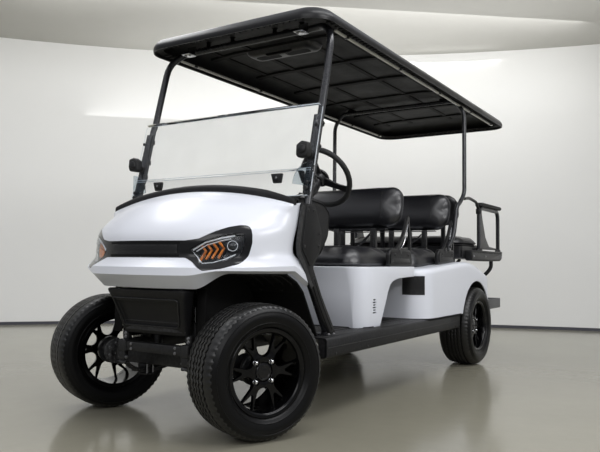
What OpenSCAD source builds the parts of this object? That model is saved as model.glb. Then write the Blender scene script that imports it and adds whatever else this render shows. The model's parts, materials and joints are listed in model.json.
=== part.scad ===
// Six-seat lifted golf cart with a fixed roof and a rear-facing flip seat.
// Front faces -Y, the driver's left is +X, +Z is up, origin on the ground.

/* [Overall] */
// Distance between the front and rear axle
wheelbase = 2630; // [2400:10:3200]
// Reach of the front lip ahead of the front axle
front_overhang = 320; // [300:5:340]
// Reach of the footrest behind the rear axle
rear_overhang = 1110; // [1080:10:1300]
// Height of the roof top above the ground
height = 2080; // [1900:10:2400]
// Half width of the roof
roof_half_w = 606; // [540:2:700]

/* [Wheels] */
// Outer radius of the tyre
tyre_r = 292; // [270:1:300]
// Half width of the tyre at its bulge
tyre_half_w = 122; // [100:1:124]
// Outer radius of the rim barrel
rim_r = 173; // [150:1:180]
// Half distance between the rear wheel centres
rear_half_track = 563; // [555:1:640]
// Half distance between the kingpins
kingpin_x = 390; // [385:1:430]
// Distance from the kingpin to the wheel centre
kingpin_offset = 134; // [130:1:140]
// Steering angle that the wheels are parked at, positive to the left
park_steer = -22; // [-30:1:30]

/* [Chassis] */
// Half spacing of the two frame rails
rail_x = 200; // [180:1:205]
// Top of the cabin floor
floor_z = 400; // [396:1:410]
// Half width across the body sides
body_half_w = 650; // [640:1:680]

/* [Seats] */
// Half width of the seat cushions
cushion_half_w = 540; // [440:1:542]
// Thickness of the front and middle cushions
cushion_t = 96; // [70:1:130]
// Half width of the flip seat
flip_half_w = 525; // [420:1:530]
// Thickness of the seat backs
back_t = 82; // [60:1:95]

/* [Steering] */
// Radius of the steering wheel rim
wheel_rim_r = 180; // [140:1:190]
// Tilt of the steering column above the horizontal
column_tilt = 36; // [30:1:42]
// Radius of the roof strut tubes
strut_r = 19; // [12:1:20]

/* [Hidden] */
$fn = 48;

axle_z = tyre_r;
tail_y = wheelbase + rear_overhang;
// the parked front tyre reaches 30 past the lip, so the box is centred with it
front_axle_y = -(tail_y - front_overhang - 30) / 2;
body_front_y = wheelbase - 1040;
hinge_y = wheelbase + 550;
hinge_z = 905;
rail_top = floor_z - 15;
rail_bottom = rail_top - 60;
strut_x = 571;
roof_rim_z = height - 96;
clear = 0.4;
black = [0.05, 0.05, 0.055];
white = [0.93, 0.94, 0.94];
steel = [0.13, 0.13, 0.14];

// Everything below is placed from the front axle.
module from_axle() translate([0, front_axle_y, 0]) children();

module both_sides() {
    children();
    mirror([1, 0, 0]) children();
}

// A box from its low corner to its high corner.
module block(lo, hi) translate(lo) cube(hi - lo);

// A side profile of [y, z] points pushed out from x = a to x = b.
module side_profile(points, a, b)
    translate([a, 0, 0]) rotate([90, 0, 90]) linear_extrude(b - a) polygon(points);

// A front profile of [x, z] points pushed back from y = a to y = b.
module front_profile(points, a, b)
    translate([0, b, 0]) rotate([90, 0, 0]) linear_extrude(b - a) polygon(points);

// A straight round bar between two points.
module bar(p, q, r) {
    v = q - p;
    len = norm(v);
    translate(p) rotate([0, acos(v[2] / len), atan2(v[1], v[0])]) cylinder(r = r, h = len);
}

// A path with each inner corner rounded off by r, in n steps.
function soften(pts, r, n = 3) = [for (i = [0 : len(pts) - 1]) each
    i == 0 || i == len(pts) - 1 ? [pts[i]] : let (
        u = pts[i - 1] - pts[i], v = pts[i + 1] - pts[i],
        a = pts[i] + u / norm(u) * min(r, norm(u) * 0.45),
        b = pts[i] + v / norm(v) * min(r, norm(v) * 0.45))
    [for (k = [0 : n]) let (t = k / n)
        (1 - t) * (1 - t) * a + 2 * t * (1 - t) * pts[i] + t * t * b]];

// A bent tube swept along a path, with its corners softened by bend.
module tube_path(points, r, bend = 60, sides = 16) {
    path = soften(points, bend);
    n = len(path);
    dirs = [for (i = [0 : n - 1]) let (d = path[min(i + 1, n - 1)] - path[max(i - 1, 0)]) d / norm(d)];
    function carry(s, d) = let (w = s - (s * d) * d) w / norm(w);
    start = carry(abs(dirs[0][0]) < 0.8 ? [1, 0, 0] : [0, 1, 0], dirs[0]);
    sides_v = [for (i = 0, s = start; i < n; i = i + 1, s = i < n ? carry(s, dirs[i]) : s) s];
    rings = [for (i = [0 : n - 1], k = [0 : sides - 1]) let (s = sides_v[i], w = cross(dirs[i], s))
        path[i] + r * (cos(360 * k / sides) * s + sin(360 * k / sides) * w)];
    skin = [for (i = [0 : n - 2], k = [0 : sides - 1])
        let (a = i * sides + k, b = i * sides + (k + 1) % sides)
        each [[a, b + sides, b], [a, a + sides, b + sides]]];
    polyhedron(points = rings, faces = concat(skin, [[for (k = [0 : sides - 1]) k],
        [for (k = [sides - 1 : -1 : 0]) (n - 1) * sides + k]]), convexity = 8);
}

// Points of an arc about c, from angle a to angle b in n steps.
function arc(c, r, a, b, n = 8) =
    [for (i = [0 : n]) let (t = a + (b - a) * i / n) [c[0] + r * cos(t), c[1] + r * sin(t)]];

// A rectangle with round corners, in order from its low corner.
function round_rect(lo, hi, r, n = 6) = concat(
    arc([lo[0] + r, lo[1] + r], r, 180, 270, n), arc([hi[0] - r, lo[1] + r], r, 270, 360, n),
    arc([hi[0] - r, hi[1] - r], r, 0, 90, n), arc([lo[0] + r, hi[1] - r], r, 90, 180, n));

// Front bodywork: each row is [centre y, centre z, side x, side z, end y, end z, crown power].
cowl_rows = [
    [-250, 662, 575, 710, 262, 645, 0], [-320, 700, 600, 722, 250, 664, 0],
    [-315, 735, 602, 745, 226, 702, 8], [-262, 775, 590, 775, 190, 762, 8],
    [-255, 818, 587, 815, 149, 805, 6], [-250, 866, 586, 872, 150, 866, 6],
    [-225, 912, 586, 898, 158, 896, 3], [-170, 975, 586, 918, 167, 930, 2],
    [-90, 1040, 586, 942, 174, 966, 2], [0, 1090, 586, 985, 182, 1002, 2],
    [110, 1130, 588, 1030, 190, 1040, 2], [262, 1076, 588, 1076, 262, 1076, 2]];
cowl_cols = 40;
arc_share = 0.85;
corner_y = 130;
shell_t = 5;

function cowl_x(row, t) = row[2] * (t < arc_share ? sin(90 * t / arc_share) : 1);
function cowl_y(row, t) = let (yc = row[0], yk = max(corner_y, yc))
    t < arc_share ? yk - (yk - yc) * cos(90 * t / arc_share)
    : yk + (row[4] - yk) * (t - arc_share) / (1 - arc_share);
// Power 0 keeps the lip low to the lamp and then steps it up to the wheel arch.
function step_up(x) = let (k = min(max((x - 330) / 110, 0), 1)) k * k * (3 - 2 * k);
function cowl_z(row, t) = t < arc_share
    ? row[1] + (row[3] - row[1]) * (row[6] == 0 ? step_up(cowl_x(row, t))
        : pow(sin(90 * t / arc_share), row[6]))
    : row[3] + (row[5] - row[3]) * (t - arc_share) / (1 - arc_share);
function cowl_u(j) = 2 * j / cowl_cols - 1;
function cowl_point(i, j) = let (u = cowl_u(j), t = abs(u), s = u < 0 ? -1 : 1)
    [s * cowl_x(cowl_rows[i], t), cowl_y(cowl_rows[i], t), cowl_z(cowl_rows[i], t)];
function cowl_normal(i, j) = let (
    a = cowl_point(i, max(j - 1, 0)), b = cowl_point(i, min(j + 1, cowl_cols)),
    c = cowl_point(max(i - 1, 0), j), d = cowl_point(min(i + 1, len(cowl_rows) - 1), j),
    n = cross(b - a, d - c)) n / norm(n);

// A skin of thickness t over cells i0 to i1 and j0 to j1 of the front bodywork grid, less skip.
// Its outline stands back by inset, so that it drops into the opening around it.
module cowl_skin(i0, i1, j0, j1, t, skip = [], inset = 0) {
    w = j1 - j0 + 1;
    h = i1 - i0 + 1;
    function in_by(i, j) = let (p = cowl_point(i, j),
        a = cowl_point(i == i0 ? i + 1 : i == i1 ? i - 1 : i, j) - p,
        b = cowl_point(i, j == j0 ? j + 1 : j == j1 ? j - 1 : j) - p)
        inset * ((norm(a) > 0 ? a / norm(a) : a) + (norm(b) > 0 ? b / norm(b) : b));
    outer = [for (i = [i0 : i1], j = [j0 : j1]) cowl_point(i, j) + in_by(i, j)];
    inner = [for (i = [i0 : i1], j = [j0 : j1]) cowl_point(i, j) + in_by(i, j) - t * cowl_normal(i, j)];
    n = w * h;
    function at(i, j) = (i - i0) * w + (j - j0);
    function kept(i, j) = i >= i0 && i < i1 && j >= j0 && j < j1
        && !(len(skip) > 0 && i >= skip[0] && i < skip[1] && j >= skip[2] && j < skip[3]);
    cells = [for (i = [i0 : i1 - 1], j = [j0 : j1 - 1]) if (kept(i, j)) [i, j]];
    function wall(p, q) = [[p, q, q + n], [p, q + n, p + n]];
    faces = [for (c = cells) let (i = c[0], j = c[1], a = at(i, j), b = at(i, j + 1),
        d = at(i + 1, j), e = at(i + 1, j + 1)) each concat(
        [[a, d, e], [a, e, b]], [[a + n, e + n, d + n], [a + n, b + n, e + n]],
        kept(i - 1, j) ? [] : wall(a, b), kept(i + 1, j) ? [] : wall(e, d),
        kept(i, j - 1) ? [] : wall(d, a), kept(i, j + 1) ? [] : wall(b, e))];
    polyhedron(points = concat(outer, inner), faces = faces, convexity = 6);
}

lamp_rows = [3, 5];
lamp_in = 4;
lamp_out = 11;
mid_col = cowl_cols / 2;

module front_cowl() color(white) from_axle()
    cowl_skin(0, 10, 0, cowl_cols, shell_t,
        [lamp_rows[0], lamp_rows[1], mid_col - lamp_out, mid_col + lamp_out]);

module grille_bar() color(black) from_axle()
    cowl_skin(lamp_rows[0], lamp_rows[1], mid_col - lamp_in, mid_col + lamp_in, 12, [], clear);

module headlights() color([0.1, 0.1, 0.11]) from_axle() both_sides()
    cowl_skin(lamp_rows[0], lamp_rows[1], mid_col + lamp_in, mid_col + lamp_out, 22, [], clear);

module front_bumper() color(black) from_axle() {
    difference() {
        hull() {
            block([-250, -232, 625], [250, -140, 633]);
            block([-198, -152, 419], [198, -112, 427]);
        }
        hull() {
            block([-204, -260, 582], [204, -201, 584]);
            block([-182, -260, 464], [182, -160, 466]);
        }
    }
    both_sides() block([rail_x - 18, -138, rail_top], [rail_x + 18, -112, 425]);
}

// Chassis.
module frame_rails() color(steel) from_axle() {
    both_sides() block([rail_x - 25, -165, rail_bottom], [rail_x + 25, wheelbase + 470, rail_top]);
    for (y = [-160, 330, 900, 1500, 2170, wheelbase + 420])
        block([-rail_x + 25, y, rail_bottom + 8], [rail_x - 25, y + 45, rail_top - 8]);
    both_sides() for (y = [430, 1000, 1480, 1900, 2215])
        block([rail_x + 25, y, rail_top - 40], [505, y + 40, rail_top]);
    // shock towers
    for (y = [-15, wheelbase + 90]) {
        both_sides() block([rail_x - 20, y, rail_top], [rail_x + 20, y + 30, 575]);
        block([-rail_x - 20, y, 575], [rail_x + 20, y + 30, 605]);
    }
    // spring hangers
    both_sides() for (y = [-150, 330]) block([rail_x - 20, y - 12, 286.2], [rail_x + 20, y + 12, rail_bottom]);
    both_sides() for (y = [wheelbase - 400, wheelbase + 400])
        block([rail_x + 25, y - 15, axle_z + 25.4], [370, y + 15, rail_top - 5]);
}

module floor_pan() color([0.1, 0.1, 0.1]) from_axle() {
    block([-505, 386, rail_top], [505, body_front_y - 2, floor_z]);
    side_profile([[300, rail_top], [386, rail_top], [386, floor_z], [308, floor_z], [150, 700],
        [142, 696]], -liner_x + 1, liner_x - 1);
}

module rocker_panels() color(black) from_axle() both_sides()
    front_profile([[505, rail_top], [505, floor_z], [628, floor_z], [640, floor_z - 12], [640, 312],
        [622, 300], [590, 300], [590, 308], [618, 308], [632, 318], [632, floor_z - 16],
        [624, floor_z - 8], [513, floor_z - 8], [513, rail_top]], 355, wheelbase - 360);

liner_x = 254;
module liner_plan() translate([0, 0, 300]) linear_extrude(500) polygon(concat(
    [for (i = [-12 : 12]) [563 * sin(i * 7.5), corner_y - 366 * cos(i * 7.5)]],
    [[563, 420], [-563, 420]]));

module wheel_arch_liners() color(black) from_axle() both_sides() {
    intersection() {
        side_profile([[-240, 640], [-195, 700], [-60, 722], [110, 712], [205, 670], [262, 622],
            [397, 400.4], [387, 400.4], [254, 617], [199, 663], [108, 704], [-60, 714],
            [-190, 692], [-232, 636]], liner_x + 5, 563);
        liner_plan();
    }
    side_profile([[-100, 388], [-100, 715], [-60, 722], [110, 712], [205, 670], [262, 622],
        [397, 400.4], [384, 400.4], [384, 388]], liner_x, liner_x + 5);
    block([rail_x, 18, rail_top], [liner_x, 290, rail_top + 5]);
}

module dash_panel() color(black) from_axle() {
    cowl_skin(10, 11, mid_col - 12, mid_col + 12, shell_t, [], clear);
    difference() {
        side_profile([[262.5, 1076], [360, 1075], [500, 1062], [560, 1020], [548, 900], [470, 800],
            [400, 782], [160, 701], [156, 709], [398, 790], [464, 808], [540, 904], [551, 1016],
            [497, 1054], [360, 1067], [262.5, 1068]], -530, 530);
        column_axis() translate([0, 0, -400]) cylinder(r = 26 + clear, h = 200);
    }
    both_sides() block([530, 264, 1067], [strut_x - strut_r - clear, 300, 1075]);
}

module kick_panels() color(black) from_axle() both_sides()
    side_profile([[190.5, 1040], [168.5, 936], [144.5, 842], [151.5, 806], [193.5, 763], [230, 703],
        [266, 646], [302, 598], [375, 493], [452, 408], [512, 408], [484, 450], [372, 600],
        [288, 741], [397, 824], [407, 912], [346, 993], [318, 1040]],
        strut_x + strut_r + 0.6, 600);

// Steering.
wheel_c = [360, 750, 1235];
module column_axis() translate(wheel_c) rotate([-(90 - column_tilt), 0, 0]) children();

module steering_column() color(black) from_axle() column_axis() {
    difference() {
        translate([0, 0, -400]) cylinder(r = 26, h = 350);
        translate([0, 0, -120]) cylinder(r = 10.1, h = 80);
    }
    translate([0, 0, -420]) cylinder(r = 17, h = 21);
}

module steering_wheel() color(black) from_axle() column_axis() {
    rotate_extrude() translate([wheel_rim_r, 0]) circle(r = 13);
    translate([0, 0, -42]) cylinder(r = 34, h = 50);
    translate([0, 0, -110]) cylinder(r = 10, h = 70);
    for (a = [90, 210, 330]) rotate([0, 0, a]) block([25, -14, -14], [wheel_rim_r - 6, 14, -4]);
}

// Two pads on arms that stand off the toe board.
module pedals() color(steel) from_axle() for (p = [[300, 38], [420, 52]])
    translate([p[0], 397, 400.4]) rotate([atan2(222, -135), 0, 0]) {
        translate([-p[1] / 2, 55, -40]) cube([p[1], 110, 8]);
        translate([-8, 95, -32.5]) cube([16, 30, 32.5 - clear]);
    }

// Roof and its struts.
roof_front = 330;
roof_back = wheelbase + 1000;
roof_pts = 7;
roof_r = 140;
function roof_ring(d, z) = [for (p = round_rect([-roof_half_w + d, roof_front + d],
    [roof_half_w - d, roof_back - d], max(roof_r - d, 20), roof_pts)) [p[0], p[1], z]];
roof_outer = [[0, 0], [-2, 30], [8, 54], [38, 78], [120, 90], [290, 96]];
roof_inner = [[5, 0], [4, 30], [14, 50], [43, 73], [123, 85], [290, 91]];

module roof_canopy() color(black) from_axle() {
    m = 4 * (roof_pts + 1);
    k = len(roof_outer);
    outer = [for (r = roof_outer) each roof_ring(r[0], roof_rim_z + r[1])];
    inner = [for (r = roof_inner) each roof_ring(r[0], roof_rim_z + r[1])];
    n = k * m;
    side = [for (i = [0 : k - 2], j = [0 : m - 1]) let (a = i * m + j, b = i * m + (j + 1) % m)
        each [[a, b + m, b], [a, a + m, b + m], [a + n, b + n, b + m + n], [a + n, b + m + n, a + m + n]]];
    rim = [for (j = [0 : m - 1]) let (b = (j + 1) % m) each [[j, b, b + n], [j, b + n, j + n]]];
    top = [[for (j = [m - 1 : -1 : 0]) (k - 1) * m + j], [for (j = [0 : m - 1]) n + (k - 1) * m + j]];
    polyhedron(points = concat(outer, inner), faces = concat(side, rim, top), convexity = 6);
}

function mirrored(pts) = concat(pts,
    [for (i = [len(pts) - 1 : -1 : 0]) [-pts[i][0], pts[i][1], pts[i][2]]]);

// Four stubs that carry the roof skin from a crossbar at y.
module roof_stubs(y, h) both_sides() for (a = [120, 300])
    translate([a, y, roof_rim_z + 6]) cylinder(r = 12, h = h - 6, $fn = 12);

module front_roof_struts() color(steel) from_axle() {
    x = strut_x;
    tube_path(mirrored([[x, 466, floor_z + 12], [x, 220, 800], [x, 282, 1062], [x, 454, 1739],
        [530, 530, roof_rim_z - 54], [430, 600, roof_rim_z + 6]]), strut_r);
    both_sides() block([x - 35, 435, floor_z + clear], [x + 35, 505, floor_z + 7]);
    roof_stubs(600, 89.4);
}

module rear_roof_struts() color(steel) from_axle() {
    y = wheelbase - 60;
    x = 574;
    tube_path(mirrored([[x, y - 345, 880], [x, y - 239, 973], [x, y - 172, 1193],
        [x, y - 105, 1221], [x, y, 1300], [x, y, roof_rim_z - 44], [470, y, roof_rim_z + 6]]),
        strut_r - 3, 45);
    roof_stubs(y, 90.5);
}

// The windshield stands just in front of the struts and leans as they do.
glass_half_w = 600;
glass_t = 5;
function glass_y(z) = 254 + (z - 1085) * 0.254;
module pane(z0, z1, flange = []) side_profile(concat([[glass_y(z0), z0],
    [glass_y(z0) - glass_t, z0], [glass_y(z1) - glass_t, z1]], flange, [[glass_y(z1), z1]]),
    -glass_half_w, glass_half_w);

module windshield_lower() color([0.75, 0.85, 0.9, 0.35]) from_axle() pane(1081, 1213);

// The upper pane's top edge turns forward in a short flange.
module windshield_upper() color([0.75, 0.85, 0.9, 0.35]) from_axle() pane(1213.4, 1544,
    [[glass_y(1544) - glass_t - 15, 1549], [glass_y(1544) - glass_t - 13, 1554], [glass_y(1544) - 4, 1549]]);

// Body.
module front_seat_pod() color(white) from_axle() difference() {
    side_profile([[845, floor_z + clear], [830, 740], [1580, 740], [1580, 706], [1185, 706],
        [1170, 660], [1060, floor_z + clear]], -585, 585);
    side_profile([[853, floor_z - 1], [839, 732], [1572, 732], [1572, 714], [1178, 714],
        [1162, 662], [1052, floor_z - 1]], -577, 577);
}

deck_slope = 52 / (wheelbase - 230 - body_front_y);
function deck_z(y) = 722 + (y - body_front_y) * deck_slope;
body_back_y = wheelbase + 350;

module body_side(d) side_profile([[body_front_y + d, floor_z - (d > 0 ? 1 : 0)],
    [body_front_y + d, deck_z(body_front_y + d) - d], [wheelbase - 230, 774 - d],
    [wheelbase - 10, 752 - d], [wheelbase + 320, 670 - d], [body_back_y - d, 600],
    [body_back_y - d, floor_z - (d > 0 ? 1 : 0)]], -body_half_w + d, body_half_w - d);

module body_plan(d) translate([0, 0, 300]) linear_extrude(600) polygon(round_rect(
    [-body_half_w + d, body_front_y + d], [body_half_w - d, body_back_y - d], 80 - d));

module rear_body() color(white) from_axle() {
    difference() {
        intersection() { body_side(0); body_plan(0); }
        intersection() { body_side(8); body_plan(8); }
        both_sides() translate([410, wheelbase, axle_z]) rotate([0, 90, 0]) cylinder(r = 340, h = 300);
    }
    both_sides() difference() {
        translate([410, wheelbase, axle_z]) rotate([0, 90, 0]) cylinder(r = 345, h = body_half_w - 416);
        translate([416, wheelbase, axle_z]) rotate([0, 90, 0]) cylinder(r = 340, h = 300);
        block([400, wheelbase - 400, -100], [700, wheelbase + 400, floor_z]);
    }
    both_sides() block([500, body_front_y + 8, floor_z], [body_half_w - 8, body_front_y + 40, floor_z + 8]);
}

// Seats.
module cushion(y0, y1, z0, z1, t, half_w) side_profile(concat([[y0, z0], [y1, z1]],
    arc([y1 - 25, z1 + t - 25], 25, 0, 90), arc([y0 + 35, z0 + t - 35], 35, 90, 180)),
    -half_w, half_w);

module seat_cushions() color(black) from_axle() {
    cushion(850, 1420, 740.4, 740.4, cushion_t, cushion_half_w);
    a = wheelbase - 950;
    b = wheelbase - 380;
    cushion(a, b, deck_z(a) + clear, deck_z(b) + clear, cushion_t + 4, cushion_half_w);
}

// A seat back: bottom front corner at [y, z], height h, leaning back by s over its height.
module back_pad(y, z, h, s, t) side_profile(concat([[y, z], [y + t, z]],
    arc([y + s + t - 28, z + h - 28], 28, 0, 90), arc([y + s + 28, z + h - 28], 28, 90, 180)),
    -530, 530);

module seat_backs() color(black) from_axle() {
    back_pad(1405, 975, 287, 60, back_t);
    back_pad(wheelbase - 360, 1000, 293, 60, back_t);
    back_pad(wheelbase - 66, 1050, 250, -50, back_t - 4);
}

module seat_brackets() color(black) from_axle() {
    for (r = [[1420, 740.4, 975], [wheelbase - 345, deck_z(wheelbase - 300) + clear, 1000]]) {
        both_sides() for (x = [80, 350]) block([x - 15, r[0] + 15, r[1]], [x + 15, r[0] + 45, r[2]]);
    }
    both_sides() {
        side_profile([[1215, 740.4], [1563, 740.4], [1563, 800], [1530, 847], [1240, 847],
            [1215, 820]], 542.5, 572);
        side_profile([[1335, 847], [1385, 847], [1560, 1000], [1548, 1020], [1500, 1010]], 535, 550);
    }
    m = wheelbase - 606;
    both_sides()
        side_profile([[m, deck_z(m) + clear], [m + 330, deck_z(m + 330) + clear], [m + 330, 850],
            [m + 300, 858], [m + 30, 863], [m, 830]], 542.5, 572);
    both_sides() for (x = [120, 400])
        block([x - 15, wheelbase - 62, 757.6], [x + 15, wheelbase - 37, 1050]);
}

// Flip seat at the rear. The hinge runs along X at (hinge_y, hinge_z).
hinge_lugs = [300];

module rear_seat_base() color(steel) from_axle() {
    y0 = wheelbase - 30;
    difference() {
        block([-540, y0, 800], [540, hinge_y - 20, 900]);
        block([-534, y0 + 6, 799], [534, hinge_y - 26, 894]);
    }
    both_sides() {
        block([540, y0, 800], [545, hinge_y - 20, 870]);
        block([545, y0 + 60, 790], [600, wheelbase + 885, 860]);
        block([rail_x - 20, wheelbase + 425, rail_top], [rail_x + 20, wheelbase + 465, 894]);
        block([430, y0 + 6, 754.2], [480, y0 + 30, 894]);
        difference() {
            union() {
                translate([345, hinge_y, hinge_z]) rotate([0, 90, 0]) cylinder(r = 12, h = 60);
                block([345, hinge_y - 24, 888], [405, hinge_y, 905]);
            }
            translate([300, hinge_y, hinge_z]) rotate([0, 90, 0]) cylinder(r = 6.1, h = 160);
        }
    }
}

module rear_seat_deck() color(steel) from_axle() {
    block([-flip_half_w, wheelbase + 5, hinge_z], [flip_half_w, hinge_y - 15, hinge_z + 8]);
    both_sides() difference() {
        union() {
            translate([275, hinge_y, hinge_z]) rotate([0, 90, 0]) cylinder(r = 12, h = 60);
            block([275, hinge_y - 16, hinge_z], [335, hinge_y, hinge_z + 8]);
        }
        translate([260, hinge_y, hinge_z]) rotate([0, 90, 0]) cylinder(r = 6, h = 200);
    }
    both_sides() translate([275, hinge_y, hinge_z]) rotate([0, 90, 0]) cylinder(r = 6, h = 135);
}

module rear_seat_cushion() color(black) from_axle()
    side_profile(concat([[wheelbase + 8, hinge_z + 8.3], [hinge_y - 30, hinge_z + 8.3]],
        arc([hinge_y - 60, hinge_z + 45], 30, 0, 90), arc([wheelbase + 38, hinge_z + 45], 30, 90, 180)),
        -flip_half_w, flip_half_w);

module armrests() color(steel) from_axle() both_sides() {
    x = 565;
    y0 = wheelbase + 330;
    y1 = wheelbase + 870;
    tube_path([[x, y0, 860.3], [x, y0, 1220], [x, y1, 1220], [x, y1, 860.3]], 15);
    block([x - 24, y0 + 70, 1232], [x + 24, y1 - 70, 1262]);
}

module footrest() color(steel) from_axle() {
    y0 = wheelbase + 545;
    block([-510, y0, 372], [510, tail_y, 380]);
    block([-510, tail_y - 8, 380], [510, tail_y, 450]);
    both_sides() {
        block([510, y0, 365], [516, tail_y, 455]);
        block([rail_x - 20, wheelbase + 470 + clear, rail_bottom], [rail_x + 20, tail_y - 60, 372]);
        tube_path([[480, wheelbase + 600, 440], [480, wheelbase + 600, 620],
            [572, wheelbase + 640, 720], [572, wheelbase + 640, 789.6]], 16, 40);
        block([460, wheelbase + 560, 380], [500, wheelbase + 640, 450]);
    }
}

// Running gear.
yoke_r = 24;
module front_axle_beam() color(steel) from_axle() {
    block([-345, -30, 250], [345, 30, 320]);
    both_sides() {
        difference() {
            union() {
                for (z = [[236, 14], [320, 14]]) {
                    translate([kingpin_x, 0, z[0]]) cylinder(r = yoke_r, h = z[1]);
                    block([335, -yoke_r, z[0]], [kingpin_x, yoke_r, z[0] + z[1]]);
                }
                block([335, -yoke_r, 236], [352, yoke_r, 334]);
            }
            translate([kingpin_x, 0, 200]) cylinder(r = 8, h = 200);
        }
        translate([kingpin_x, 0, 232]) cylinder(r = 8, h = 106);
        block([rail_x - 25, -28, 228.4], [rail_x + 25, 28, 250]);
    }
}

module knuckle() {
    difference() {
        union() {
            translate([0, 0, 251]) cylinder(r = 21, h = 82 - 14);
            translate([0, 0, axle_z]) rotate([0, 90, 0]) cylinder(r = 16, h = kingpin_offset + 60);
            translate([44, 0, axle_z]) rotate([0, 90, 0]) cylinder(r = 92, h = 5);
            translate([16, 0, axle_z]) rotate([0, 90, 0]) cylinder(r = 26, h = 28);
        }
        translate([0, 0, 200]) cylinder(r = 8.1, h = 200);
    }
}

module knuckle_arm() difference() {
    union() {
        block([-13, 15, 290], [13, 120, 303]);
        translate([0, 120, 290]) cylinder(r = 15, h = 13);
        translate([0, 120, 262]) cylinder(r = 6, h = 28);
    }
    cylinder(r = 20.9, h = 400);
}

module knuckle_left() color(steel) from_axle() translate([kingpin_x, 0, 0]) rotate([0, 0, park_steer]) {
    knuckle();
    knuckle_arm();
}

module knuckle_right() color(steel) from_axle() translate([-kingpin_x, 0, 0]) rotate([0, 0, park_steer]) {
    mirror([1, 0, 0]) knuckle();
    knuckle_arm();
}

module tie_rod() color(steel) from_axle() translate([-120 * sin(park_steer), 120 * cos(park_steer), 276])
    difference() {
        union() {
            translate([-kingpin_x, 0, 0]) rotate([0, 90, 0]) cylinder(r = 8, h = 2 * kingpin_x);
            for (s = [-1, 1]) translate([s * kingpin_x, 0, -10]) cylinder(r = 14, h = 20);
        }
        for (s = [-1, 1]) translate([s * kingpin_x, 0, -30]) cylinder(r = 6.1, h = 60);
    }

module rear_axle() color(steel) from_axle() translate([0, wheelbase, axle_z]) {
    w = rear_half_track;
    rotate([0, 90, 0]) translate([0, 0, -(w - 100)]) cylinder(r = 28, h = 2 * (w - 100));
    rotate([0, 90, 0]) translate([0, 0, -(w + 60)]) cylinder(r = 16, h = 2 * (w + 60));
    difference() {
        sphere(r = 88);
        translate([-200, -200, 78]) cube(400);
    }
    both_sides() translate([w - 95, 0, 0]) rotate([0, 90, 0]) cylinder(r = 92, h = 45);
    translate([-30, -150, -10]) rotate([0, 90, 0]) cylinder(r = 74, h = 195);
    block([0, -150, -60], [80, 0, 50]);
    both_sides() block([315, -28, -34], [365, 28, 0]);
    both_sides() block([105, 0, -15], [135, 125, 5]);
}

// A three-leaf spring: half lengths a (front) and b (back), drop d, seat height z, width w.
module leaf_spring(a, b, d, z, w) {
    n = 16;
    function share(y) = abs(y) / (y < 0 ? a : b);
    function sag(y) = z + d * pow(share(y), 2);
    function thick(y) = 6 + (share(y) < 0.75 ? 6 : 0) + (share(y) < 0.45 ? 6 : 0);
    ys = [for (i = [0 : n]) -a + (a + b) * i / n];
    side_profile(concat([for (y = ys) [y, sag(y)]],
        [for (i = [n : -1 : 0]) [ys[i], sag(ys[i]) - thick(ys[i])]]), -w / 2, w / 2);
}

module leaf_springs() color(steel) from_axle() {
    both_sides() translate([rail_x, 0, 0]) leaf_spring(150, 330, 60, 225.8, 46);
    both_sides() translate([340, wheelbase, 0]) leaf_spring(400, 400, 60, axle_z - 35, 46);
}

module shock(h) {
    cylinder(r = 14, h = 30);
    translate([0, 0, 29]) cylinder(r = 24, h = 121);
    translate([0, 0, 149]) cylinder(r = 9, h = h - 149);
}

module shock_absorbers() color(steel) from_axle() {
    both_sides() translate([120, 0, 320.4]) shock(254.2);
    both_sides() translate([120, wheelbase + 105, axle_z + 5.4]) shock(277.2);
}

module battery_pack() color([0.15, 0.15, 0.16]) from_axle()
    block([-300, body_front_y + 40, rail_top + clear], [300, wheelbase - 400, 640]);

// Wheels, with +X as the outer side. Each spoke forks around a small notch near the barrel.
module rim_window(r) translate([0, 0, 40]) linear_extrude(40) polygon(concat(
    arc([r - 66, 0], 28, 103.6, 256.4, 12), arc([r - 27, -29], 9, -103.6, 0, 6),
    arc([r - 27, 29], 9, 0, 103.6, 6)));

module rim_notch(r) translate([0, 0, 40]) linear_extrude(40) polygon(concat(
    arc([r - 40, 0], 4, 123, 237, 4), arc([r - 20, -13], 4, -123, 0, 4), arc([r - 20, 13], 4, 0, 123, 4)));

module rim() {
    h = tyre_half_w - 25;
    r = rim_r;
    rotate([0, 90, 0]) difference() {
        union() {
            rotate_extrude() polygon([[r + 17, -h - 6], [r + 17, -h], [r, -h], [r, h], [r + 17, h],
                [r + 17, h + 6], [r - 7, h + 6], [r - 7, -h - 6]]);
            translate([0, 0, 50]) cylinder(r = r - 6, h = 18);
            translate([0, 0, -30]) cylinder(r = 50, h = 85);
            translate([0, 0, -22]) cylinder(r = 98, h = 25);
        }
        translate([0, 0, -40]) cylinder(r = 16.1, h = 102);
        for (i = [0 : 5]) rotate([0, 0, i * 60]) {
            rim_window(r);
            rotate([0, 0, 30]) rim_notch(r);
        }
    }
}

module tyre() {
    w = tyre_half_w;
    r = tyre_r;
    q = rim_r + 0.6;
    half = [[q, 26], [q + 17, 26], [q + 20, 17], [q + 38, 5], [r - 58, 0], [r - 37, 3], [r - 20, 12],
        [r - 7, 26], [r - 1, 60]];
    inside = [[r - 16, 60], [r - 24, 26], [r - 40, 17], [r - 70, 14], [q + 26, 28], [q + 10, 46],
        [q, 46]];
    side = concat(half, []);
    rotate([0, 90, 0]) rotate_extrude() polygon(concat(
        [for (p = half) [p[0], -w + p[1]]], [for (i = [len(half) - 1 : -1 : 0]) [half[i][0], w - half[i][1]]],
        [for (i = [len(inside) - 1 : -1 : 0]) [inside[i][0], w - inside[i][1]]],
        [for (p = inside) [p[0], -w + p[1]]]));
}

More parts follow.
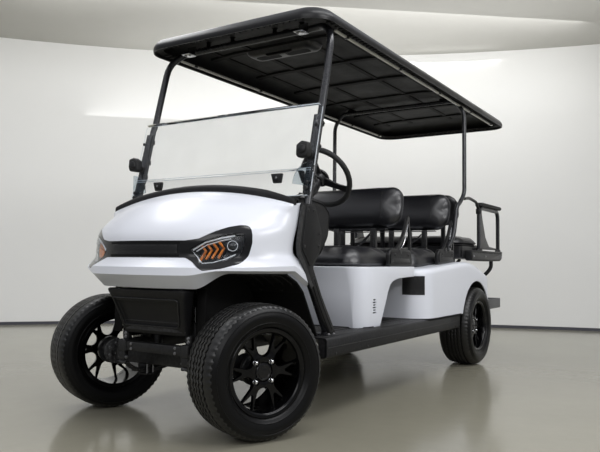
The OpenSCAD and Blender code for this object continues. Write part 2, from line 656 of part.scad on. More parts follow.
module front_wheel_place(s) from_axle() translate([s * kingpin_x, 0, axle_z]) rotate([0, 0, park_steer])
    translate([s * kingpin_offset, 0, 0]) rotate([0, 0, s > 0 ? 0 : 180]) children();
module rear_wheel_place(s) from_axle() translate([s * rear_half_track, wheelbase, axle_z])
    rotate([0, 0, s > 0 ? 0 : 180]) children();

module rim_front_left() color(black) front_wheel_place(1) rim();
module rim_front_right() color(black) front_wheel_place(-1) rim();
module rim_rear_left() color(black) rear_wheel_place(1) rim();
module rim_rear_right() color(black) rear_wheel_place(-1) rim();
module tyre_front_left() color([0.04, 0.04, 0.04]) front_wheel_place(1) tyre();
module tyre_front_right() color([0.04, 0.04, 0.04]) front_wheel_place(-1) tyre();
module tyre_rear_left() color([0.04, 0.04, 0.04]) rear_wheel_place(1) tyre();
module tyre_rear_right() color([0.04, 0.04, 0.04]) rear_wheel_place(-1) tyre();

frame_rails();
floor_pan();
rocker_panels();
front_cowl();
front_bumper();
grille_bar();
headlights();
wheel_arch_liners();
dash_panel();
kick_panels();
steering_column();
steering_wheel();
pedals();
front_roof_struts();
rear_roof_struts();
roof_canopy();
windshield_upper();
windshield_lower();
front_seat_pod();
rear_body();
seat_cushions();
seat_backs();
rear_seat_cushion();
seat_brackets();
armrests();
rear_seat_base();
rear_seat_deck();
footrest();
front_axle_beam();
knuckle_left();
knuckle_right();
tie_rod();
rear_axle();
leaf_springs();
shock_absorbers();
battery_pack();
rim_front_left();
rim_front_right();
rim_rear_left();
rim_rear_right();
tyre_front_left();
tyre_front_right();
tyre_rear_left();
tyre_rear_right();
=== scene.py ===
"""Builds the looks of a six-seat lifted golf cart around its packed frame.

Run it as a script in Blender 4.5. Sizes in the code are in millimetres from the middle of the front
axle on the ground, with x to the driver's left, y to the back and z up, unless a comment says otherwise.
"""

import json
import math

import bmesh
import bpy
from mathutils import Matrix, Vector
from mathutils.bvhtree import BVHTree


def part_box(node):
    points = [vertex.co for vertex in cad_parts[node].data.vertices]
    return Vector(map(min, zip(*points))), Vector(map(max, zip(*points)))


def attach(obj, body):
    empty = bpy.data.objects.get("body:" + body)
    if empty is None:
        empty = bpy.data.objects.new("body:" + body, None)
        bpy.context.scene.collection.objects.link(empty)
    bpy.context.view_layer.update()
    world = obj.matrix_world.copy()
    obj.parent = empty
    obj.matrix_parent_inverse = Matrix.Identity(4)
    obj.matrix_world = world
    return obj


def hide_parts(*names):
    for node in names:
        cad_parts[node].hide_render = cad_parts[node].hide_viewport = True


bl_info = {
    "name": "Golf Cart Looks",
    "version": (1, 0, 0),
    "blender": (4, 5, 0),
    "location": "3D View > Sidebar > Golf Cart",
    "description": "Detailed pieces and finishes for a six-seat golf cart, set around its packed frame",
    "category": "Object",
}

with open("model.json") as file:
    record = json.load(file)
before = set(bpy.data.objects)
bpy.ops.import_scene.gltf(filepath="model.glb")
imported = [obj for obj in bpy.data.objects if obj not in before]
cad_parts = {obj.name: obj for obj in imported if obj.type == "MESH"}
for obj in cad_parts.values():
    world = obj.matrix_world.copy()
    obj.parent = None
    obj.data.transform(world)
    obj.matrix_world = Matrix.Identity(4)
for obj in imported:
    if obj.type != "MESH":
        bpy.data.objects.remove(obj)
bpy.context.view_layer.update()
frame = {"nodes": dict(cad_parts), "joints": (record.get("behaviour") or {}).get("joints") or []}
JOINTS = {joint["name"]: joint for joint in frame["joints"]}
AXLE_Y = JOINTS["steer_left"]["pos_m"][1] * 1000.0
AXLE_Z = JOINTS["wheel_rear_left_spin"]["pos_m"][2] * 1000.0
KINGPIN_X = JOINTS["steer_left"]["pos_m"][0] * 1000.0
WHEELBASE = JOINTS["wheel_rear_left_spin"]["pos_m"][1] * 1000.0 - AXLE_Y
REAR_TRACK = JOINTS["wheel_rear_left_spin"]["pos_m"][0] * 1000.0
WHEEL_AXIS = Vector(JOINTS["wheel_front_left_spin"]["axis"])
COLUMN_AXIS = Vector(JOINTS["steering_wheel_turn"]["axis"])
STEERING_CENTRE = Vector(JOINTS["steering_wheel_turn"]["pos_m"]) * 1000.0 - Vector((0, AXLE_Y, 0))
HINGE_Y = JOINTS["rear_seat_flip"]["pos_m"][1] * 1000.0 - AXLE_Y
HINGE_Z = JOINTS["rear_seat_flip"]["pos_m"][2] * 1000.0
TYRE_RADIUS = AXLE_Z
ROOF_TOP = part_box("roof_canopy")[1].z * 1000.0
ROOF_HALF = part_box("roof_canopy")[1].x * 1000.0
ROOF_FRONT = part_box("roof_canopy")[0].y * 1000.0 - AXLE_Y
ROOF_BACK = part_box("roof_canopy")[1].y * 1000.0 - AXLE_Y


def cad_box(node):
    """The low and high corner of a CAD node, in mm from the front axle."""
    low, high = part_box(node)
    shift = Vector((0, AXLE_Y, 0))
    return low * 1000.0 - shift, high * 1000.0 - shift


# ---------------------------------------------------------------- mesh making


class Shape:
    """A mesh in the making: points, faces and the finish of each face."""

    def __init__(self):
        self.points = []
        self.faces = []
        self.finishes = []

    def add(self, part, finish, move=None, sides=(1,)):
        """Adds (points, faces), moved by a matrix, once for each side: 1 as it is, -1 mirrored."""
        points, faces = part
        for side in sides:
            start = len(self.points)
            for point in points:
                p = move @ Vector(point) if move else Vector(point)
                self.points.append((p.x * side, p.y, p.z))
            for face in faces:
                turned = face if side > 0 else tuple(reversed(face))
                self.faces.append(tuple(start + i for i in turned))
            self.finishes += [finish] * len(faces)
        return self

    def pair(self, part, finish, move=None):
        """Adds a part on the left side and its mirror image on the right."""
        return self.add(part, finish, move, (1, -1))

    def mesh(self, name):
        """The Blender mesh, in metres in the row frame."""
        mesh = bpy.data.meshes.new(name)
        mesh.from_pydata([(x / 1000, (y + AXLE_Y) / 1000, z / 1000) for x, y, z in self.points], [],
                         self.faces)
        names = list(dict.fromkeys(self.finishes))
        for finish in names:
            mesh.materials.append(material(finish))
        order = {finish: i for i, finish in enumerate(names)}
        mesh.polygons.foreach_set("material_index", [order[finish] for finish in self.finishes])
        mesh.validate()
        return mesh

    def piece(self, name, body="chassis", slot="black_plastic", replaces=(), sharp=35.0):
        """Makes the object, smooth but for edges sharper than the given angle, and sets it on its body."""
        return place(bpy.data.objects.new(name, self.mesh(name)), body, replaces, sharp)


def place(piece, body, replaces=(), sharp=35.0):
    """Puts a finished object in the scene and gives it to its body."""
    if piece.name not in bpy.context.scene.objects:
        bpy.context.scene.collection.objects.link(piece)
    if piece.type == "MESH":
        piece.data.polygons.foreach_set("use_smooth", [True] * len(piece.data.polygons))
        piece.data.set_sharp_from_angle(angle=math.radians(sharp))
    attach(piece, body)
    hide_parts(*replaces)
    return piece


def moved(x=0.0, y=0.0, z=0.0, turn=0.0, axis="Z"):
    """A matrix that turns about an axis by degrees and then moves."""
    return Matrix.Translation((x, y, z)) @ Matrix.Rotation(math.radians(turn), 4, axis)


# Turns a part that stands on +Z to point across the cart, along +X.
ACROSS = Matrix.Rotation(math.pi / 2, 4, "Y")


def aimed(at, direction):
    """A matrix that puts +Z along a direction, with its origin at a point."""
    return Matrix.Translation(at) @ Vector(direction).to_track_quat("Z", "Y").to_matrix().to_4x4()


def from_bmesh(bm):
    """Points and faces of a bmesh, which is then freed."""
    bm.verts.index_update()
    part = ([tuple(v.co) for v in bm.verts], [tuple(v.index for v in f.verts) for f in bm.faces])
    bm.free()
    return part


def to_bmesh(part):
    """A bmesh of points and faces."""
    bm = bmesh.new()
    points = [bm.verts.new(p) for p in part[0]]
    for face in part[1]:
        bm.faces.new([points[i] for i in face])
    bm.normal_update()
    return bm


def rounded(part, width, steps=2, angle=30.0, keep=None):
    """Rounds the edges of a part that are sharper than the angle."""
    bm = to_bmesh(part)
    bmesh.ops.remove_doubles(bm, verts=bm.verts, dist=0.001)
    edges = [e for e in bm.edges if e.is_manifold and e.calc_face_angle(0) > math.radians(angle)
             and (keep is None or not keep((e.verts[0].co + e.verts[1].co) / 2))]
    bmesh.ops.bevel(bm, geom=edges, offset=width, offset_type="OFFSET", segments=steps, profile=0.5,
                    affect="EDGES", clamp_overlap=True)
    return from_bmesh(bm)


def box(low, high):
    """A plain block, to be rounded."""
    (a, b, c), (d, e, f) = low, high
    points = [(a, b, c), (d, b, c), (d, e, c), (a, e, c), (a, b, f), (d, b, f), (d, e, f), (a, e, f)]
    faces = [(0, 3, 2, 1), (4, 5, 6, 7), (0, 1, 5, 4), (1, 2, 6, 5), (2, 3, 7, 6), (3, 0, 4, 7)]
    return points, faces


def block(low, high, radius=3.0, steps=2):
    """A block with rounded edges."""
    return rounded(box(low, high), radius, steps)


def signed_area(outline):
    """Twice the area inside an outline, above 0 where it runs anticlockwise."""
    return sum(a[0] * b[1] - b[0] * a[1] for a, b in zip(outline, outline[1:] + outline[:1]))


def prism(outline, low, high, along="x"):
    """An outline of [y, z] along x, [x, z] along y or [x, y] along z, pushed out between two values."""
    n = len(outline)
    area = signed_area(outline)
    ring = list(outline) if (area > 0) != (along == "y") else list(reversed(outline))
    spot = {"x": lambda p, t: (t, p[0], p[1]), "y": lambda p, t: (p[0], t, p[1]), "z": lambda p,
            t: (p[0], p[1], t)}
    points = [spot[along](p, low) for p in ring] + [spot[along](p, high) for p in ring]
    faces = [tuple(reversed(range(n))), tuple(range(n, 2 * n))]
    return points, faces + [(i, (i + 1) % n, n + (i + 1) % n, n + i) for i in range(n)]


def loft(rings, ends=True, around=True):
    """Faces between rings of the same number of points."""
    n = len(rings[0])
    points = [tuple(p) for ring in rings for p in ring]
    last = n if around else n - 1
    faces = [(r * n + i, r * n + (i + 1) % n, (r + 1) * n + (i + 1) % n, (r + 1) * n + i)
             for r in range(len(rings) - 1) for i in range(last)]
    if ends and around:
        faces += [tuple(reversed(range(n))), tuple(range((len(rings) - 1) * n, len(rings) * n))]
    return points, faces


def looped(rings):
    """Faces between rings that close on the first one again."""
    points, faces = loft(rings + [rings[0]], ends=False)
    total = len(rings) * len(rings[0])
    return points[:total], [tuple(i % total for i in f) for f in faces]


def reverse_faces(part):
    """A part with its faces turned over."""
    return part[0], [tuple(reversed(face)) for face in part[1]]


def mirror(part):
    """The mirror image of a part on the other side of the cart."""
    return reverse_faces(([(-x, y, z) for x, y, z in part[0]], part[1]))


def circle(radius, sides):
    """Points of a circle about the origin of a plane."""
    angles = (math.tau * k / sides for k in range(sides))
    return [(radius * math.cos(a), radius * math.sin(a)) for a in angles]


def turned(profile, sides=48, close=False):
    """A [radius, height] profile turned about +Z, from axis to axis, or closed on itself."""
    rings = [[(x, y, z) for x, y in circle(max(r, 1e-4), sides)] for r, z in profile]
    return looped(rings) if close else loft(rings)


def soften(path, bend, steps=4):
    """A path of points with its inner corners rounded."""
    path = [Vector(p) for p in path]
    out = [path[0]]
    for a, b, c in zip(path, path[1:], path[2:]):
        u, v = a - b, c - b
        p = b + u.normalized() * min(bend, u.length * 0.45)
        q = b + v.normalized() * min(bend, v.length * 0.45)
        out += [p * (1 - t) ** 2 + b * 2 * t * (1 - t) + q * t * t
                for t in (k / steps for k in range(steps + 1))]
    return out + [path[-1]]


def tube(path, radius, bend=0.0, sides=16, section=None, ends=True, closed=False):
    """A tube swept along a path. A section of [across, up] points replaces the circle."""
    path = soften(path, bend) if bend else [Vector(p) for p in path]
    n = len(path)
    ring = section or circle(radius, sides)
    carried = None
    rings = []
    for i, point in enumerate(path):
        ahead = path[(i + 1) % n] if closed else path[min(i + 1, n - 1)]
        behind = path[i - 1] if closed or i else path[0]
        along = (ahead - behind).normalized()
        if carried is None:
            carried = Vector((1, 0, 0)) if abs(along.x) < 0.8 else Vector((0, 0, 1))
        carried = (carried - along * carried.dot(along)).normalized()
        up = along.cross(carried)
        rings.append([point + carried * a + up * b for a, b in ring])
    return looped(rings) if closed else loft(rings, ends=ends)


def strap(path, half_wide, half_thick, bend=0.0, closed=False):
    """A flat bar swept along a path."""
    a, b = half_wide, half_thick
    return tube(path, 1, bend, section=[(-a, -b), (a, -b), (a, b), (-a, b)], closed=closed)


def stacked(rings, levels):
    """A solid through flat rings of [x, y] points, each at its level."""
    return loft([[(x, y, z) for x, y in ring] for ring, z in zip(rings, levels)])


def bolt(radius=7.0, height=5.0, washer=1.45):
    """A hexagon bolt head with a washer, standing on z = 0."""
    head = rounded(prism(circle(radius, 6), 1.0, 1.0 + height, "z"), radius * 0.12, 1)
    disc = turned([(0, 0), (radius * washer, 0), (radius * washer, 0.8), (radius * washer - 0.5, 1.2),
                   (0, 1.2)], 20)
    return join(head, disc)


def button(radius=8.0, height=3.5):
    """A round-headed screw, standing on z = 0."""
    return turned([(0, 0), (radius, 0), (radius, height * 0.3), (radius * 0.8, height * 0.8),
                   (radius * 0.42, height), (radius * 0.4, height * 0.4), (0, height * 0.4)], 16)


def join(*parts):
    """Several parts as one."""
    points, faces = [], []
    for more_points, more_faces in parts:
        start = len(points)
        points += list(more_points)
        faces += [tuple(start + i for i in f) for f in more_faces]
    return points, faces


def shifted(part, move):
    """A part moved by a matrix."""
    return [tuple(move @ Vector(p)) for p in part[0]], part[1]


def shell(rows, outside, thickness):
    """A closed skin over a grid of points, which stands off by outside and is thickness deep."""
    h, w = len(rows), len(rows[0])
    normals = []
    for i in range(h):
        line = []
        for j in range(w):
            across = Vector(rows[i][min(j + 1, w - 1)]) - Vector(rows[i][max(j - 1, 0)])
            up = Vector(rows[min(i + 1, h - 1)][j]) - Vector(rows[max(i - 1, 0)][j])
            line.append(across.cross(up).normalized())
        normals.append(line)
    points = [tuple(Vector(rows[i][j]) + normals[i][j] * d) for d in (outside, outside - thickness)
              for i in range(h) for j in range(w)]
    n = w * h
    faces = []
    for i in range(h - 1):
        for j in range(w - 1):
            a = i * w + j
            faces += [(a, a + 1, a + w + 1, a + w), (n + a, n + a + w, n + a + w + 1, n + a + 1)]
    for i in range(h - 1):
        for a, b in ((i * w + w, i * w), (i * w + w - 1, i * w + 2 * w - 1)):
            faces.append((b, a, n + a, n + b))
    for j in range(w - 1):
        for a, b in ((j, j + 1), ((h - 1) * w + j + 1, (h - 1) * w + j)):
            faces.append((b, a, n + a, n + b))
    return points, faces


def spread(points, steps):
    """A smooth curve through points, with steps between each pair."""
    points = [Vector(p) for p in points]
    out = []
    for i in range(len(points) - 1):
        a, b, c, d = points[max(i - 1, 0)], points[i], points[i + 1], points[min(i + 2, len(points) - 1)]
        for k in range(steps):
            t = k / steps
            out.append(0.5 * (2 * b + (c - a) * t + (2 * a - 5 * b + 4 * c - d) * t * t
                              + (3 * b - a - 3 * c + d) * t ** 3))
    return out + [points[-1]]


def carve(part, cutters, how="DIFFERENCE"):
    """Cuts a closed part with others, or keeps what it shares with them."""
    made = []
    for source in (part, *cutters):
        mesh = bpy.data.meshes.new("carving")
        mesh.from_pydata([tuple(p) for p in source[0]], [], source[1])
        bm = bmesh.new()
        bm.from_mesh(mesh)
        bmesh.ops.remove_doubles(bm, verts=bm.verts, dist=0.0005)
        bmesh.ops.recalc_face_normals(bm, faces=bm.faces)
        bm.to_mesh(mesh)
        bm.free()
        obj = bpy.data.objects.new("carving", mesh)
        bpy.context.scene.collection.objects.link(obj)
        made.append(obj)
    for cutter in made[1:]:
        modifier = made[0].modifiers.new("cut", "BOOLEAN")
        modifier.operation = how
        modifier.solver = "EXACT"
        modifier.object = cutter
    graph = bpy.context.evaluated_depsgraph_get()
    result = made[0].evaluated_get(graph).to_mesh()
    out = ([tuple(v.co) for v in result.vertices], [tuple(p.vertices) for p in result.polygons])
    made[0].evaluated_get(graph).to_mesh_clear()
    for obj in made:
        mesh = obj.data
        bpy.data.objects.remove(obj)
        bpy.data.meshes.remove(mesh)
    if not out[1]:
        raise RuntimeError("a cut left nothing of the part")
    return out


def arc(centre, radius, start, end, steps=8):
    """Points of an arc in a plane, in degrees."""
    return [(centre[0] + radius * math.cos(math.radians(start + (end - start) * k / steps)),
             centre[1] + radius * math.sin(math.radians(start + (end - start) * k / steps)))
            for k in range(steps + 1)]


def round_rect(low, high, r, steps=6):
    """A rectangle with round corners."""
    (a, b), (c, d) = low, high
    return (arc((a + r, b + r), r, 180, 270, steps) + arc((c - r, b + r), r, 270, 360, steps)
            + arc((c - r, d - r), r, 0, 90, steps) + arc((a + r, d - r), r, 90, 180, steps))


def round_corners(outline, r, steps=4):
    """A closed outline with its corners rounded."""
    out = []
    n = len(outline)
    for i, corner in enumerate(outline):
        b = Vector(corner).to_2d()
        u, v = Vector(outline[i - 1]).to_2d() - b, Vector(outline[(i + 1) % n]).to_2d() - b
        p = b + u.normalized() * min(r, u.length * 0.45)
        q = b + v.normalized() * min(r, v.length * 0.45)
        out += [tuple(p * (1 - t) ** 2 + b * 2 * t * (1 - t) + q * t * t)
                for t in (k / steps for k in range(steps + 1))]
    return out


def inset(outline, distance):
    """A closed outline moved inwards, or outwards where the distance is negative."""
    n = len(outline)
    sign = 1 if signed_area(outline) > 0 else -1
    out = []
    for i in range(n):
        a, b, c = (Vector(outline[k % n]).to_2d() for k in (i - 1, i, i + 1))
        u, v = (b - a).normalized(), (c - b).normalized()
        normal = Vector((-(u + v).y, (u + v).x))
        if normal.length < 1e-6:
            out.append(tuple(b))
            continue
        normal.normalize()
        bend = max(0.35, normal.dot(Vector((-u.y, u.x))))
        out.append(tuple(b + normal * sign * distance / bend))
    return out


# ---------------------------------------------------------------- finishes


class Tree:
    """Adds nodes to a shader tree and joins them by socket name."""

    def __init__(self, tree):
        self.tree = tree

    def node(self, kind, inputs=None, **settings):
        """A new node, with its inputs set or joined."""
        made = self.tree.nodes.new("ShaderNode" + kind)
        for key, value in settings.items():
            setattr(made, key, value)
        for key, value in (inputs or {}).items():
            if isinstance(value, bpy.types.NodeSocket):
                self.tree.links.new(value, made.inputs[key])
            else:
                made.inputs[key].default_value = value
        return made

    def math(self, operation, a, b=0.0, clamp=False):
        """The output of a Math node."""
        return self.node("Math", {0: a, 1: b}, operation=operation, use_clamp=clamp).outputs[0]

    def remap(self, value, low, high, to_low=0.0, to_high=1.0):
        """A value taken from one range to another."""
        made = self.node("MapRange", {"Value": value, "From Min": low, "From Max": high,
                                      "To Min": to_low, "To Max": to_high})
        return made.outputs[0]

    def blend(self, share, first, second):
        """A colour between two others."""
        made = self.node("Mix", data_type="RGBA")
        for socket, value in zip((made.inputs[0], made.inputs[6], made.inputs[7]), (share, first, second)):
            if isinstance(value, bpy.types.NodeSocket):
                self.tree.links.new(value, socket)
            else:
                socket.default_value = value
        return made.outputs[2]

    def effect(self, name, inputs=None):
        """Places one of the shared effects."""
        return self.node("Group", inputs, node_tree=EFFECTS[name]()).outputs


def rgb(red, green, blue):
    """A colour written as 0 to 255 display values, made linear."""
    return tuple((c / 255 / 12.92) if c / 255 <= 0.04045 else ((c / 255 + 0.055) / 1.055) ** 2.4
                 for c in (red, green, blue)) + (1.0,)


def new_effect(name, inputs, outputs):
    """A shader node group, its tree and its two ends, which are None where the group was made before."""
    group = bpy.data.node_groups.get(name)
    if group:
        return group, None, None, None
    group = bpy.data.node_groups.new(name, "ShaderNodeTree")
    for label, value in inputs.items():
        socket = group.interface.new_socket(name=label, in_out="INPUT", socket_type="NodeSocketFloat")
        socket.default_value = value
    for label in outputs:
        group.interface.new_socket(name=label, in_out="OUTPUT", socket_type="NodeSocketFloat")
    tree = Tree(group)
    start = group.nodes.new("NodeGroupInput").outputs
    end = group.nodes.new("NodeGroupOutput").inputs
    return group, tree, start, end


def leather_grain():
    """Small soft cells with creases, as on vinyl and moulded plastic. Scale is in cells a metre."""
    group, tree, start, end = new_effect("Leather Grain", {"Scale": 700.0, "Creases": 0.5},
                                         ["Height", "Tone"])
    if tree:
        place_at = tree.node("TexCoord").outputs["Object"]
        cells = tree.node("TexVoronoi", {"Vector": place_at, "Scale": start["Scale"]}, feature="F1")
        fine = tree.node("TexNoise", {"Vector": place_at, "Scale": tree.math("MULTIPLY", start["Scale"],
                                                                             2.3), "Detail": 3.0})
        folds = tree.node("TexNoise", {"Vector": place_at, "Scale": tree.math("MULTIPLY", start["Scale"],
                                                                              0.06), "Detail": 2.0,
                                       "Distortion": 0.8})
        bumps = tree.math("SUBTRACT", 1.0, cells.outputs["Distance"])
        crease = tree.math("MULTIPLY", tree.remap(folds.outputs[0], 0.35, 0.65), start["Creases"])
        height = tree.math("ADD", tree.math("MULTIPLY", bumps, 0.7),
                           tree.math("MULTIPLY", fine.outputs[0], 0.3))
        group.links.new(tree.math("SUBTRACT", height, tree.math("MULTIPLY", crease, 0.3)), end["Height"])
        group.links.new(tree.remap(tree.math("ADD", height, crease), 0.2, 1.2), end["Tone"])
    return group


def cloudy_tone():
    """Slow uneven patches from 0 to 1. Scale is in patches a metre."""
    group, tree, start, end = new_effect("Cloudy Tone", {"Scale": 4.0, "Contrast": 0.5}, ["Tone"])
    if tree:
        place_at = tree.node("TexCoord").outputs["Object"]
        noise = tree.node("TexNoise", {"Vector": place_at, "Scale": start["Scale"], "Detail": 5.0,
                                       "Roughness": 0.6})
        middle = tree.math("SUBTRACT", noise.outputs[0], 0.5)
        spread_out = tree.math("MULTIPLY", middle, tree.math("MULTIPLY", start["Contrast"], 4.0))
        group.links.new(tree.math("ADD", spread_out, 0.5, clamp=True), end["Tone"])
    return group


def edge_wear():
    """1 on the rubbed edges of a piece, broken up, and 0 elsewhere."""
    group, tree, start, end = new_effect("Edge Wear", {"Amount": 0.5, "Scale": 60.0}, ["Mask"])
    if tree:
        sharpness = tree.node("NewGeometry").outputs["Pointiness"]
        place_at = tree.node("TexCoord").outputs["Object"]
        noise = tree.node("TexNoise", {"Vector": place_at, "Scale": start["Scale"], "Detail": 4.0})
        edge = tree.remap(sharpness, 0.52, 0.62)
        broken = tree.math("MULTIPLY", edge, tree.remap(noise.outputs[0], 0.35, 0.7))
        group.links.new(tree.math("MULTIPLY", broken, start["Amount"], clamp=True), end["Mask"])
    return group


def settled_dust():
    """Dust on faces that look up, thicker towards the ground, and road film low down."""
    group, tree, start, end = new_effect("Settled Dust", {"Amount": 0.3, "Reach": 0.8}, ["Mask"])
    if tree:
        geometry = tree.node("NewGeometry").outputs
        up = tree.node("SeparateXYZ", {0: geometry["Normal"]}).outputs[2]
        height = tree.node("SeparateXYZ", {0: geometry["Position"]}).outputs[2]
        place_at = tree.node("TexCoord").outputs["Object"]
        noise = tree.node("TexNoise", {"Vector": place_at, "Scale": 22.0, "Detail": 6.0, "Roughness": 0.7})
        low = tree.math("SUBTRACT", 1.0, tree.math("DIVIDE", height, start["Reach"]), clamp=True)
        lying = tree.math("MULTIPLY", tree.remap(up, 0.2, 1.0), 0.5)
        share = tree.math("ADD", lying, tree.math("MULTIPLY", low, 0.6))
        speckle = tree.remap(noise.outputs[0], 0.3, 0.75)
        group.links.new(tree.math("MULTIPLY", tree.math("MULTIPLY", share, speckle), start["Amount"],
                                  clamp=True), end["Mask"])
    return group


def brushed_lines():
    """Fine uneven strokes along x, as left by rolling or brushing."""
    group, tree, start, end = new_effect("Brushed Lines", {"Scale": 300.0}, ["Height"])
    if tree:
        place_at = tree.node("TexCoord").outputs["Object"]
        stretched = tree.node("VectorMath", {0: place_at, 1: (0.05, 1.0, 1.0)},
                              operation="MULTIPLY").outputs[0]
        noise = tree.node("TexNoise", {"Vector": stretched, "Scale": start["Scale"], "Detail": 4.0})
        group.links.new(noise.outputs[0], end["Height"])
    return group


EFFECTS = {"grain": leather_grain, "tone": cloudy_tone, "wear": edge_wear, "dust": settled_dust,
           "brushed": brushed_lines}


def new_material(name):
    """A new material with its tree and its shader."""
    made = bpy.data.materials.new(name)
    made.use_nodes = True
    return made, Tree(made.node_tree), made.node_tree.nodes["Principled BSDF"]


def scaled(colour, share):
    """A colour made darker or lighter by a share."""
    return tuple(c * share for c in colour[:3]) + (1.0,)


def finish(name, colour, roughness, second=None, metal=0.0, coat=0.0, grain=None, creases=0.2,
           tone=(3.0, 0.4), wear=0.0, worn=(0.30, 0.30, 0.31, 1.0), dust=0.0, reach=0.8, brushed=0.0,
           shine=0.5, uneven=0.06, coat_rough=0.04):
    """A solid finish. grain is (cells a metre, bump in mm), tone is (patches a metre, contrast)."""
    made, tree, shader = new_material(name)
    shader.inputs["Metallic"].default_value = metal
    shader.inputs["Coat Weight"].default_value = coat
    shader.inputs["Coat Roughness"].default_value = coat_rough
    shader.inputs["Specular IOR Level"].default_value = shine
    patches = tree.effect("tone", {"Scale": tone[0], "Contrast": tone[1]})["Tone"]
    skin = tree.blend(patches, second or scaled(colour, 0.86), colour)
    rough = tree.remap(patches, 0.0, 1.0, roughness + uneven, max(roughness - uneven, 0.02))
    height = None
    if grain:
        cells = tree.effect("grain", {"Scale": grain[0], "Creases": creases})
        height = cells["Height"]
        skin = tree.blend(tree.math("MULTIPLY", cells["Tone"], 0.25), skin, scaled(colour, 0.55))
        rough = tree.math("ADD", rough, tree.math("MULTIPLY", cells["Tone"], 0.08))
    if brushed:
        height = tree.effect("brushed", {"Scale": 260.0})["Height"]
    if wear:
        rubbed = tree.effect("wear", {"Amount": wear, "Scale": 70.0})["Mask"]
        skin = tree.blend(rubbed, skin, worn)
        rough = tree.math("SUBTRACT", rough, tree.math("MULTIPLY", rubbed, 0.1))
    if dust:
        film = tree.effect("dust", {"Amount": dust, "Reach": reach})["Mask"]
        skin = tree.blend(film, skin, rgb(150, 144, 132))
        rough = tree.math("ADD", rough, tree.math("MULTIPLY", film, 0.4), clamp=True)
    made.node_tree.links.new(skin, shader.inputs["Base Color"])
    made.node_tree.links.new(rough, shader.inputs["Roughness"])
    if height is not None:
        depth = grain[1] if grain else brushed
        bump = tree.node("Bump", {"Height": height, "Strength": 0.6, "Distance": depth / 1000.0})
        made.node_tree.links.new(bump.outputs[0], shader.inputs["Normal"])
    return made


def clear_finish(name, colour, roughness=0.02, haze=0.03):
    """Clear acrylic: glass that lets lamps shine through, with a faint film of fine scratches."""
    made, tree, shader = new_material(name)
    shader.inputs["Transmission Weight"].default_value = 1.0
    shader.inputs["IOR"].default_value = 1.18
    patches = tree.effect("tone", {"Scale": 9.0, "Contrast": 0.8})["Tone"]
    made.node_tree.links.new(tree.blend(patches, scaled(colour, 0.97), colour), shader.inputs["Base Color"])
    made.node_tree.links.new(tree.remap(patches, 0.0, 1.0, roughness, roughness + haze),
                             shader.inputs["Roughness"])
    shadow = tree.node("LightPath").outputs["Is Shadow Ray"]
    through = tree.node("BsdfTransparent", {"Color": colour}).outputs[0]
    mixed = tree.node("MixShader", {0: shadow, 1: shader.outputs[0], 2: through})
    made.node_tree.links.new(mixed.outputs[0], made.node_tree.nodes["Material Output"].inputs["Surface"])
    return made


def chosen(name):
    """One of the colours that the user sets."""
    return tuple(getattr(bpy.context.scene.cart_colours, name)) + (1.0,)


